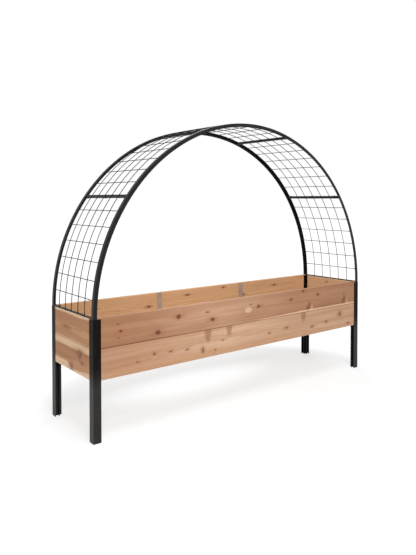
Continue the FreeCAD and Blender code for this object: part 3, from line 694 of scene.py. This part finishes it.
cedar("rear_upper_board", "x", paint(216, 174, 138), paint(182, 136, 102), seed=3,
      knots=((-497, -5, 11, 9), (-144, 45, 11, 7), (218, 69, 8, 6), (429, -12, 10, 8), (796, 36, 11, 7),
             (-930, 30, 8, 7)),
      ends=(0.0, 0.3), inside=(-1, 0.62, INSIDE_LIGHT_REAR), pith=(-20, 60), edge_highlight=0.15, seam=(0.7, 0.7))
cedar("rear_lower_board", "x", paint(220, 178, 142), paint(188, 142, 106), seed=4,
      knots=((-900, 20, 10, 9), (-350, -40, 9, 8), (150, 30, 11, 10), (620, -10, 8, 7), (1020, 50, 9, 8)),
      zones=(zone(SAPWOOD, BELOW, (-1000, -66), (1000, -50)),), inside=(-1, 0.62, INSIDE_LIGHT_REAR),
      pith=(30, 70))
cedar("left_upper_board", "y", paint(224, 170, 125), paint(182, 130, 90), seed=5,
      knots=((79, -12, 22, 12),), dark=0.4,
      zones=(zone(BROWN, ABOVE, (-300, 20), (300, 30), 0.55, 50),
             zone(CREAM, ABOVE, (-200, 74), (200, 74), 0.85, 6),
             zone(CREAM, BELOW, (-250, -81.5), (200, -77.5), 0.8, 4)),
      pith=(10, 50), edge_highlight=0.3, seam=(0.45, 0.45))
cedar("left_lower_board", "y", paint(192, 138, 98), paint(164, 112, 75), seed=6,
      knots=((-115, 40, 30, 20), (-148, -14, 14, 10), (0, -66, 11, 22), (-110, 14, 12, 10)), dark=0.65,
      flares=((-158, 30, 12, 16), (-32, -66, 9, 26)),
      zones=(zone(PINK_BROWN, BELOW, (-300, -4), (120, -30), 0.6, 30),
             zone(CREAM, ABOVE, (-250, 53), (250, 50), 0.92, 20),
             zone(CREAM, BELOW, (12, -90), (66, -43), 0.92),
             zone(CREAM, BELOW, (-250, -62), (-10, -72), 0.92)),
      pith=(-5, 30), edge_highlight=0.3)
cedar("right_upper_board", "y", paint(208, 160, 122), paint(172, 126, 92), seed=7,
      knots=((-110, 20, 10, 9), (150, -35, 8, 7), (20, 55, 6, 5)),
      inside=(-1, 0.80, INSIDE_LIGHT_RIGHT), pith=(-20, -50), edge_highlight=0.4, seam=(0.6, 0.6))
cedar("right_lower_board", "y", paint(208, 160, 122), paint(172, 124, 90), seed=8,
      knots=((60, 15, 12, 11), (-170, -30, 8, 7)),
      zones=(zone(SAPWOOD, ABOVE, (-200, 72), (200, 60)),), inside=(-1, 0.80, INSIDE_LIGHT_RIGHT),
      pith=(0, -35))

# %% Floor slats
SLAT_KNOTS = (((-700, 10, 9, 8), (350, -30, 8, 7)),
              ((120, 20, 10, 9),),
              ((-250, -15, 9, 8), (880, 25, 7, 6)),
              ((550, 0, 10, 9),))
for number, knots in enumerate(SLAT_KNOTS, 1):
    cedar(f"floor_slat_{number}", "floor", paint(206, 160, 124), paint(174, 126, 92), seed=8 + number,
          knots=knots, pith=(10 * number, -50), edge_highlight=0.2)


# %% [markdown]
# ## Powder coat
#
# Powder coat is a thick baked film: near black and satin. It flows as it bakes, which
# leaves a very fine orange peel, and handling leaves short dull scuffs that run along the
# piece. Peel is bump alone. Scuffs change mostly the roughness, because a matt scratch on
# black shows by how it catches light, and only a little by its colour.
#
# The legs carry painted light and shade in two tones of it: warm, dark and nearly without
# sheen beside the wood, as painted shade and reflection of the wood; greyer and with more
# sheen below the box, where they stand free over the white floor, as painted light and
# reflection of that floor. A lamp for the legs alone could do that too, but it would light the wood as
# well. So tone and sheen go by the height in the leg.

# %% Powder coat
CHALK = paint(74, 72, 70)  # colour of dust and scuffs
FLOOR_LIGHT_TO = 0.30  # height up to which a leg stands free, painted with the floor's light
WOOD_SHADE_FROM = 0.46  # height from which it is painted with the wood's shade and reflection
# extra coat low down: a painted reflection of the white floor
FLOOR_SHEEN = 0.45
SHEEN_ROUGHNESS = 0.42
PEEL_DEPTH = 0.00006  # metres of bump


def powder_coat(name, colour, roughness, scuff_run, gloss, wood_shade_tone=None):
    """Powder coat, with scuff_run in scuffs to the metre on each axis, and a tone of painted shade and
    reflection beside wood.
    """
    material, shader, where = new_finish(name)
    cloud = shader.noise(where, (9.0, 9.0, 9.0), 3.0)
    peel = shader.noise(where, (650.0, 650.0, 650.0), 1.0)
    scuffs = shader.step(shader.noise(where, scuff_run, 3.0, 0.65), 0.66, 0.74)
    dust = shader.step(shader.noise(where, (260.0, 260.0, 260.0), 1.0), 0.70, 0.76)
    lighter = tuple(1.6 * c for c in colour[:3]) + (1.0,)
    tint = shader.mix(shader.step(cloud, 0.35, 0.75), colour, lighter)
    sheen = 0.0
    if wood_shade_tone:
        # painted light and shade by height: floor light low down, the wood's shade and reflection higher
        rise = shader.step(shader.parts(where)[2], FLOOR_LIGHT_TO, WOOD_SHADE_FROM)
        tint = shader.mix(rise, tint, wood_shade_tone)
        sheen = FLOOR_SHEEN * (1.0 - rise)
    tint = shader.mix(0.28 * scuffs, tint, CHALK)
    tint = shader.mix(0.20 * dust, tint, CHALK)
    rough = roughness - 0.05 + 0.10 * cloud + 0.14 * scuffs
    shader.surface(peel - 0.4 * scuffs, PEEL_DEPTH, Base_Color=tint, Roughness=rough,
                   Specular_IOR_Level=gloss, Coat_Weight=sheen, Coat_Roughness=SHEEN_ROUGHNESS)
    return material


def dress_all(finishes):
    """Dresses the measured pieces whose names have one of the endings."""
    for ending, material in finishes.items():
        dressed = [name for name in nodes if name.endswith(ending)]
        for name in dressed:
            dress(name, material)
        print(material.name, "on", len(dressed), "pieces with the ending", ending)


leg_coat = powder_coat("leg_powder_coat", paint(24, 23, 22), 0.44, (90.0, 90.0, 7.0), gloss=0.06,
                       wood_shade_tone=paint(19, 14, 11))
rail_coat = powder_coat("rail_powder_coat", paint(20, 20, 21), 0.40, (40.0, 40.0, 40.0), gloss=0.17)
bar_coat = powder_coat("bar_powder_coat", paint(20, 19, 18), 0.44, (90.0, 7.0, 90.0), gloss=0.10)
wire_coat = powder_coat("wire_powder_coat", paint(18, 18, 18), 0.45, (60.0, 60.0, 60.0), gloss=0.12)
dress_all({"_leg": leg_coat, "_rail": rail_coat, "_bar": bar_coat})


# %% [markdown]
# ## Bare metals
#
# The straps, cross tubes and ledgers are extruded aluminium as the mill delivers it: a dull
# grey with fine lines along the draw. Lines are a noise squeezed across the draw and
# drawn out along it, and they feed roughness and bump, so the highlight spreads across
# them as it does on the real metal. Screws are stainless steel, the trellis bolts black
# oxide, and the plaque is brass.

# %% Bare metal
LINE_DEPTH = 0.00004  # metres of bump


def bare_metal(name, colour, darker, roughness, lines, metallic=1.0):
    """Bare metal, with lines in lines to the metre on each axis."""
    material, shader, where = new_finish(name)
    drawn = shader.noise(where, lines, 3.0, 0.7)
    cloud = shader.noise(where, (14.0, 14.0, 14.0), 3.0)
    stain = shader.step(shader.noise(where, (45.0, 45.0, 45.0), 4.0, 0.6), 0.60, 0.80)
    tint = shader.mix(shader.step(drawn + 0.5 * cloud, 0.45, 1.05), darker, colour)
    tint = shader.mix(0.35 * stain, tint, darker)
    rough = roughness + 0.22 * (drawn - 0.5) + 0.14 * stain
    shader.surface(drawn, LINE_DEPTH, Base_Color=tint, Roughness=rough, Metallic=metallic)
    return material


aluminium = bare_metal("mill_aluminium", paint(222, 206, 192), paint(186, 168, 154), 0.52,
                       (700.0, 700.0, 5.0), metallic=0.8)
tube_metal = bare_metal("tube_aluminium", paint(196, 190, 186), paint(160, 154, 150), 0.50,
                        (700.0, 5.0, 700.0))
brass = bare_metal("brass_plate", paint(223, 192, 155), paint(196, 160, 118), 0.36,
                   (60.0, 400.0, 900.0))
stainless = bare_metal("steel_screws", paint(206, 204, 200), paint(150, 148, 145), 0.34,
                       (300.0, 300.0, 300.0))
black_oxide = bare_metal("black_fasteners", paint(46, 45, 46), paint(26, 26, 27), 0.42,
                         (220.0, 220.0, 220.0), metallic=0.6)
dress_all({"_strap": aluminium, "_tube": tube_metal, "_ledger": tube_metal, "_pins": brass})


# %% [markdown]
# ## Building pieces from rings
#
# Wires, weld beads, screws, bolts and the plaque are all skins over rings of points: a ring
# is moved, grown or shrunk, and the next is joined to it. Blender could give the same with
# curves and a bevel, but rings written in code keep the mesh clean and closed, and a ring
# may be any shape, such as a hexagon or the six lobes of a screw's recess.

# %% Rings and skins
SHARP = math.radians(38)
ALONG_X = Vector((1, 0, 0))
ALONG_Y = Vector((0, 1, 0))
ALONG_Z = Vector((0, 0, 1))


def ring(centre, across, up, radius, sides):
    """Points round a centre. The radius is a number, or a function of the angle."""
    points = []
    for index in range(sides):
        angle = 2 * math.pi * index / sides
        reach = radius(angle) if callable(radius) else radius
        points.append(centre + reach * (math.cos(angle) * across + math.sin(angle) * up))
    return points


def skin(form, rings, closed=False):
    """Joins each ring to the next, and caps the ends or joins the last to the first."""
    loops = [[form.verts.new(point) for point in points] for points in rings]
    pairs = list(zip(loops, loops[1:]))
    if closed:
        pairs.append((loops[-1], loops[0]))
    else:
        form.faces.new(loops[0])
        form.faces.new(loops[-1])
    for one, other in pairs:
        for index in range(len(one)):
            after = (index + 1) % len(one)
            form.faces.new((one[index], one[after], other[after], other[index]))


def turned(form, seat, axis, profile, sides, closed=False):
    """Skin over rings round an axis. The profile holds (distance along the axis, radius)."""
    across = axis.orthogonal().normalized()
    up = axis.cross(across)
    rings = [ring(seat + far * axis, across, up, radius, sides) for far, radius in profile]
    skin(form, rings, closed)


def new_piece(name, form, finish, slot, *stands_for):
    """Makes the piece, lets it ride on the planter and hides the solids that it stands for."""
    bmesh.ops.recalc_face_normals(form, faces=form.faces)
    mesh = bpy.data.meshes.new(name)
    form.to_mesh(mesh)
    form.free()
    mesh.shade_smooth()
    mesh.set_sharp_from_angle(angle=SHARP)
    mesh.materials.append(finish)
    piece = put(name, mesh)
    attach(piece, "root")
    if stands_for:
        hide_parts(*stands_for)
    print(name, "has", len(mesh.polygons), "faces")


print("turns of more than", round(math.degrees(SHARP)), "degrees stay sharp edges")


# %% [markdown]
# ## The trellis mesh
#
# Each of the five panels carries a net of eleven round wires. Five long ones follow the
# arch on the outside, six short ones cross under them and enter the rails, and each
# crossing is spot welded, which squeezes a small collar of metal out round the joint.
# The measured nets have eight-sided wires and no welds, so new nets stand for them.

# %% Arch measures
LEG_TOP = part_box("front_left_leg")[1].z  # also the height of the arch's centre
RAIL_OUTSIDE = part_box("right_panel_1_front_rail")[1].x
RAIL_INSIDE_FACE = -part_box("right_panel_1_front_rail")[1].y
NET_OUTSIDE, NET_HALF_WIDTH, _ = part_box("right_panel_1_mesh")[1]
BAR_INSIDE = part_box("right_panel_1_foot_bar")[0].x
BAR_OUTSIDE, BAR_HALF_LENGTH, BAR_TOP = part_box("right_panel_1_foot_bar")[1]
BAR_MIDDLE = (BAR_INSIDE + BAR_OUTSIDE) / 2
BAR_HALF_THICKNESS = (BAR_TOP - LEG_TOP) / 2
PANELS = ("right_panel_1", "right_panel_2", "top_panel", "left_panel_2", "left_panel_1")
PANEL_TURN = math.pi / len(PANELS)
print("arch radius", round(RAIL_OUTSIDE, 4), "round a centre at height", round(LEG_TOP, 3))


def outward(angle):
    return Vector((math.cos(angle), 0, math.sin(angle)))


def onward(angle):
    return Vector((-math.sin(angle), 0, math.cos(angle)))


def on_arch(radius, angle, y=0.0):
    """Point of the arch. The angle runs from the right foot over the top to the left foot."""
    return Vector((radius * math.cos(angle), y, LEG_TOP + radius * math.sin(angle)))


# %% Wires and spot welds
WIRE_RADIUS = 0.0024
WELD_BITE = 0.0006  # how far crossing wires sink into each other
WIRE_SIDES = 12
LONG_WIRES = 5
CROSS_WIRES = 6
ARC_STEPS = 24
CUT_EDGE = 0.0004  # bevel on a wire's cut end
END_GAP = 0.002  # from a long wire's end to the panel's end
COLLAR_SIDES = 10
FILLET_SUNK = 0.0005  # how far a fillet starts inside the rail
LONG_RADIUS = NET_OUTSIDE - WIRE_RADIUS
CROSS_RADIUS = LONG_RADIUS - 2 * WIRE_RADIUS + WELD_BITE
WIRE_PITCH = 2 * RAIL_INSIDE_FACE / (LONG_WIRES + 1)
LONG_PLACES = [WIRE_PITCH * (index - (LONG_WIRES - 1) / 2) for index in range(LONG_WIRES)]


def long_wire(form, start, y):
    first = start + END_GAP / LONG_RADIUS
    last = start + PANEL_TURN - END_GAP / LONG_RADIUS
    bevel = CUT_EDGE / LONG_RADIUS
    arc = last - first - 2 * bevel
    stations = [(first + bevel + arc * step / ARC_STEPS, WIRE_RADIUS) for step in range(ARC_STEPS + 1)]
    stations = [(first, WIRE_RADIUS - CUT_EDGE), *stations, (last, WIRE_RADIUS - CUT_EDGE)]
    skin(form, [ring(on_arch(LONG_RADIUS, turn, y), outward(turn), ALONG_Y, radius, WIRE_SIDES)
                for turn, radius in stations])


def cross_wire(form, angle):
    end = NET_HALF_WIDTH
    profile = ((-end, WIRE_RADIUS - CUT_EDGE), (CUT_EDGE - end, WIRE_RADIUS),
               (end - CUT_EDGE, WIRE_RADIUS), (end, WIRE_RADIUS - CUT_EDGE))
    turned(form, on_arch(CROSS_RADIUS, angle), ALONG_Y, profile, WIRE_SIDES)


COLLAR = ((-0.60, 0.50), (-0.45, 1.00), (-0.15, 1.25), (0.15, 1.25), (0.45, 1.00), (0.60, 0.50))
FILLET = ((0.0, 1.90), (0.45, 1.60), (0.90, 1.25), (1.40, 1.03))  # profiles in wire radii


def in_wire_radii(profile):
    return [(far * WIRE_RADIUS, wide * WIRE_RADIUS) for far, wide in profile]


def spot_weld(form, centre, axis):
    """Flat collar of squeezed metal between two crossing wires."""
    turned(form, centre, axis, in_wire_radii(COLLAR), COLLAR_SIDES)


def entry_weld(form, angle, side):
    """Fillet where a cross wire enters a rail."""
    seat = on_arch(CROSS_RADIUS, angle, side * (RAIL_INSIDE_FACE + FILLET_SUNK))
    turned(form, seat, -side * ALONG_Y, in_wire_radii(FILLET), WIRE_SIDES)


print("wires", round(2000 * WIRE_RADIUS, 1), "mm thick,", round(1000 * WIRE_PITCH), "mm apart")


# %% One net for each panel
HALF_BAR_TURN = BAR_HALF_THICKNESS / BAR_OUTSIDE

for number, panel in enumerate(PANELS):
    form = bmesh.new()
    start = number * PANEL_TURN
    crossings = [start + PANEL_TURN * (index + 1) / (CROSS_WIRES + 1) for index in range(CROSS_WIRES)]
    for y in LONG_PLACES:
        long_wire(form, start, y)
        for angle in crossings:
            spot_weld(form, on_arch((LONG_RADIUS + CROSS_RADIUS) / 2, angle, y), outward(angle))
        for angle in (start + HALF_BAR_TURN, start + PANEL_TURN - HALF_BAR_TURN):
            spot_weld(form, on_arch(BAR_OUTSIDE + WELD_BITE / 2, angle, y), outward(angle))
    for angle in crossings:
        cross_wire(form, angle)
        entry_weld(form, angle, 1)
        entry_weld(form, angle, -1)
    new_piece(panel + "_net", form, wire_coat, "wire_powder_coat", panel + "_mesh")


# %% [markdown]
# ## Weld beads
#
# Each bar runs into the side of both rails and is welded all round. A bead laid by hand is
# a row of overlapping puddles, so its thickness swells and shrinks along the seam. Here it
# is a tube that follows the bar's outline, half sunk in the metal, with that swell.

# %% Beads round the bar ends
BEAD_RADIUS = 0.0019
BEAD_SIDES = 8
BEAD_STEPS = 48
PUDDLES = 12
PUDDLE_SWELL = 0.16  # share of the bead's radius
CORNER = 0.3  # 1 is an ellipse and 0 a sharp rectangle


def rounded(share):
    """Cosine or sine, pushed outwards so that two of them trace a rounded rectangle."""
    return math.copysign(abs(share) ** CORNER, share)


def weld_bead(form, angle, side):
    centre = on_arch(BAR_MIDDLE, angle, side * RAIL_INSIDE_FACE)
    half_depth = (BAR_OUTSIDE - BAR_INSIDE) / 2
    path = []
    for step in range(BEAD_STEPS):
        turn = 2 * math.pi * (step + 0.5) / BEAD_STEPS
        path.append(centre + half_depth * rounded(math.cos(turn)) * outward(angle)
                    + BAR_HALF_THICKNESS * rounded(math.sin(turn)) * onward(angle))
    rings = []
    for step, point in enumerate(path):
        forward = (path[(step + 1) % BEAD_STEPS] - path[step - 1]).normalized()
        swell = 1 + PUDDLE_SWELL * math.cos(2 * math.pi * PUDDLES * step / BEAD_STEPS)
        rings.append(ring(point, forward.cross(ALONG_Y), ALONG_Y, BEAD_RADIUS * swell, BEAD_SIDES))
    skin(form, rings, closed=True)


BAR_OFFSET = BAR_HALF_THICKNESS / BAR_MIDDLE  # angle from a panel's end to its bar's middle

for number, panel in enumerate(PANELS):
    form = bmesh.new()
    start = number * PANEL_TURN
    for angle in (start + BAR_OFFSET, start + PANEL_TURN - BAR_OFFSET):
        weld_bead(form, angle, 1)
        weld_bead(form, angle, -1)
    new_piece(panel + "_weld_beads", form, bar_coat, "bar_powder_coat")


# %% [markdown]
# ## Screws, bolts and nuts
#
# Wood screws hold legs, straps and ledgers from inside the box, and the trellis's foot
# bars from above; they have a low round head with a six-lobe recess. The panels are joined
# by hexagon bolts through their bars. Both are turned profiles. The recess is a ring whose
# radius swells six times round, and the hexagon is a ring whose radius follows six flats,
# with the corners cut back at the ends as a lathe leaves them.

# %% Wood screws
HEAD_RADIUS = 0.0040
HEAD_HEIGHT = 0.0024
HEAD_ROUND = (0.25, 0.5, 0.75, 0.92)  # shares of the head's height that get a ring
HEAD_SLOPE = 0.80  # share of the squared radius that the dome gives up
SHANK_RADIUS = 0.0020
SHANK_LENGTH = 0.0180
TIP_LENGTH = 0.0012
THREADS = 8
THREADED = 0.8  # share of the shank
ROOT = 0.70  # of the shank's radius, between the threads
LOBE_RADIUS = 0.0016
LOBE_DEPTH = 0.15  # share of that radius
RECESS_FLOOR = -0.0010
HAIR = 0.0002  # smallest edge
SCREW_SIDES = 24


def lobes(size):
    return lambda angle: size * (1 + LOBE_DEPTH * math.cos(6 * angle))


def screw(form, seat, drive):
    """Wood screw with the underside of its head at seat. It is driven along drive."""
    profile = [(SHANK_LENGTH, HAIR)]
    pitch = THREADED * SHANK_LENGTH / THREADS
    for thread in range(THREADS):
        root = SHANK_LENGTH - TIP_LENGTH - thread * pitch
        profile += [(root, ROOT * SHANK_RADIUS), (root - pitch / 2, SHANK_RADIUS)]
    profile += [(0.0, SHANK_RADIUS), (0.0, HEAD_RADIUS - HAIR), (-0.0003, HEAD_RADIUS)]
    for share in HEAD_ROUND:
        profile.append((-HEAD_HEIGHT * share, HEAD_RADIUS * math.sqrt(1 - HEAD_SLOPE * share ** 2)))
    profile += [(-HEAD_HEIGHT, LOBE_RADIUS + 0.0003), (-HEAD_HEIGHT, lobes(LOBE_RADIUS)),
                (RECESS_FLOOR, lobes(LOBE_RADIUS - 0.0001)), (RECESS_FLOOR + 0.0003, 0.0006)]
    turned(form, seat, drive, profile, SCREW_SIDES)


print("a screw's thread climbs", round(1000 * THREADED * SHANK_LENGTH / THREADS, 1), "mm a turn")


# %% Where the wood screws go
LEG_SCREW_HEIGHTS = (0.4555, 0.6385)
LEG_TO_LONG_BOARD = (1.190, 0.2658)  # x and y of the heads, as all pairs here
LEG_TO_END_BOARD = (1.2008, 0.255)
STRAP_SCREW_HEIGHTS = (0.422, 0.605)
STRAP_TO_BOARD = (0.403, 0.2651)
LEDGER_SCREW_HEIGHT = 0.375
LEDGER_FACE = 1.2001
ROW = (-0.1802, 0.0, 0.1802)  # places across the box of three screws in a row
SIDES = (-1, 1)
CORNERS = [(x_side, y_side) for x_side in SIDES for y_side in SIDES]


def at_corner(place, z, x_side, y_side):
    return Vector((x_side * place[0], y_side * place[1], z))


leg_screws = []
for x_side, y_side in CORNERS:
    for z in LEG_SCREW_HEIGHTS:
        leg_screws.append((at_corner(LEG_TO_LONG_BOARD, z, x_side, y_side), y_side * ALONG_Y))
        leg_screws.append((at_corner(LEG_TO_END_BOARD, z, x_side, y_side), x_side * ALONG_X))
strap_screws = [(at_corner(STRAP_TO_BOARD, z, x_side, y_side), y_side * ALONG_Y)
                for x_side, y_side in CORNERS for z in STRAP_SCREW_HEIGHTS]
ledger_screws = [(Vector((side * LEDGER_FACE, y, LEDGER_SCREW_HEIGHT)), side * ALONG_X)
                 for side in SIDES for y in ROW]
foot_bar_screws = [(Vector((side * BAR_MIDDLE, y, BAR_TOP)), -ALONG_Z) for side in SIDES for y in ROW]
SCREW_GROUPS = (("leg_screws", leg_screws, black_oxide, "black_fasteners"),
                ("strap_screws", strap_screws, stainless, "steel_screws"),
                ("ledger_screws", ledger_screws, stainless, "steel_screws"),
                ("foot_bar_screws", foot_bar_screws, stainless, "steel_screws"))
for name, places, finish, slot in SCREW_GROUPS:
    form = bmesh.new()
    for seat, drive in places:
        screw(form, seat, drive)
    new_piece(name + "_six_lobe", form, finish, slot, name)


# %% Trellis bolts and nuts
HALF_FLATS = 0.005
BOLT_RADIUS = 0.003
BOLT_HEAD = 0.004
NUT_HEIGHT = 0.005
BEVEL_RIM = 0.0006  # depth at which the flats' corners appear
BEVEL_FOOT = 0.0011  # depth at which they are full
WASHER_FACE = 0.0003
GRIP = 4 * BAR_HALF_THICKNESS  # two bars side by side
THREAD_SHOWN = 0.002  # what sticks out of the nut
THREAD_PITCH = 0.001
BOLT_THREADS = 6
BOLT_INSET = 0.050  # from a bar's end to its outer bolts
HEXAGON_SIDES = 36


def hexagon(cut=1.2):
    """Radius of a hexagon, with its corners cut back to a circle of cut times the flats."""
    def radius(angle):
        off_flat = (angle + math.pi / 6) % (math.pi / 3) - math.pi / 6
        return HALF_FLATS * min(cut, 1 / math.cos(off_flat))
    return radius


def bolt(form, seat, drive):
    profile = [(-BOLT_HEAD, 0.90 * HALF_FLATS), (-BOLT_HEAD + HAIR, 0.97 * HALF_FLATS),
               (-BOLT_HEAD + BEVEL_RIM, hexagon(1.06)), (-BOLT_HEAD + BEVEL_FOOT, hexagon()),
               (-WASHER_FACE, hexagon()), (-WASHER_FACE, 0.96 * HALF_FLATS), (0.0, 0.96 * HALF_FLATS),
               (0.0, BOLT_RADIUS), (GRIP, BOLT_RADIUS)]
    for thread in range(BOLT_THREADS):
        crest = GRIP + (thread + 0.5) * THREAD_PITCH
        profile += [(crest - THREAD_PITCH / 4, 0.86 * BOLT_RADIUS),
                    (crest + THREAD_PITCH / 4, BOLT_RADIUS)]
    profile.append((GRIP + NUT_HEIGHT + THREAD_SHOWN, 0.80 * BOLT_RADIUS))
    turned(form, seat, drive, profile, HEXAGON_SIDES)


def nut(form, seat, drive):
    half = [(0.0, 0.95 * HALF_FLATS), (BEVEL_RIM, hexagon(1.06)), (BEVEL_FOOT, hexagon())]
    bore = [(0.0004, 1.03 * BOLT_RADIUS), (0.0, 1.15 * BOLT_RADIUS)]
    mirrored = [[(NUT_HEIGHT - far, radius) for far, radius in reversed(part)] for part in (half, bore)]
    turned(form, seat, drive, half + mirrored[0] + mirrored[1] + bore, HEXAGON_SIDES, closed=True)


for name, make, place in (("trellis_bolts", bolt, -GRIP / 2), ("trellis_nuts", nut, GRIP / 2)):
    form = bmesh.new()
    for joint in range(1, len(PANELS)):
        along = onward(joint * PANEL_TURN)
        for y in (BOLT_INSET - BAR_HALF_LENGTH, 0.0, BAR_HALF_LENGTH - BOLT_INSET):
            make(form, on_arch(BAR_MIDDLE, joint * PANEL_TURN, y) + place * along, along)
    new_piece(name + "_hexagon", form, black_oxide, "black_fasteners", name)


# %% [markdown]
# ## The plaque
#
# A small oval of brass sits on the front. It is plain pressed sheet: its rim and a fine
# inner line stand proud, its face swells a little towards the middle, and every step has
# a soft edge. So it is one skin over ovals that rise and shrink. A flat disc with a bump
# would look alike from the front, but its rim would catch no light from the side.

# %% Plaque
PLAQUE_SIDES = 96
PLAQUE_PROFILE = (  # height over the wood in metres, share of the oval
    (0.0, 0.995), (0.0009, 1.0), (0.0014, 0.985), (0.0016, 0.960), (0.0016, 0.930), (0.0012, 0.900),
    (0.0009, 0.885), (0.0009, 0.850), (0.0012, 0.838), (0.0012, 0.826), (0.0009, 0.814),
    (0.00095, 0.70), (0.00110, 0.45), (0.00118, 0.20), (0.0012, 0.05))

low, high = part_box("plaque")
back = Vector(((low.x + high.x) / 2, high.y, (low.z + high.z) / 2))
across = ALONG_X * (high.x - low.x) / 2
up = ALONG_Z * (high.z - low.z) / 2
form = bmesh.new()
skin(form, [ring(back - rise * ALONG_Y, across, up, share, PLAQUE_SIDES)
            for rise, share in PLAQUE_PROFILE])
new_piece("plaque_with_rim", form, brass, "brass_plate", "plaque")


# %% [markdown]
# ## Eased edges
#
# Steel tube is rolled, and cut aluminium is tumbled, so no edge is knife sharp. A small
# bevel lets each edge catch a thin line of light. It is a modifier, which leaves the
# measured mesh as it is.

# %% Bevels
EASED = {"_rail": 0.0016, "_bar": 0.0008, "_strap": 0.0003, "_tube": 0.0012, "_ledger": 0.0008}
EASED_ANGLE = math.radians(60)  # the least turn that counts as an edge


def ease(name, width):
    bevel = nodes[name].modifiers.new("eased_edges", "BEVEL")
    bevel.width = width
    bevel.segments = 2
    bevel.limit_method = "ANGLE"
    bevel.angle_limit = EASED_ANGLE
    bevel.harden_normals = True


for name in nodes:
    for ending, width in EASED.items():
        if name.endswith(ending):
            ease(name, width)
print("eased", sum(len(node.modifiers) for node in nodes.values()), "pieces")
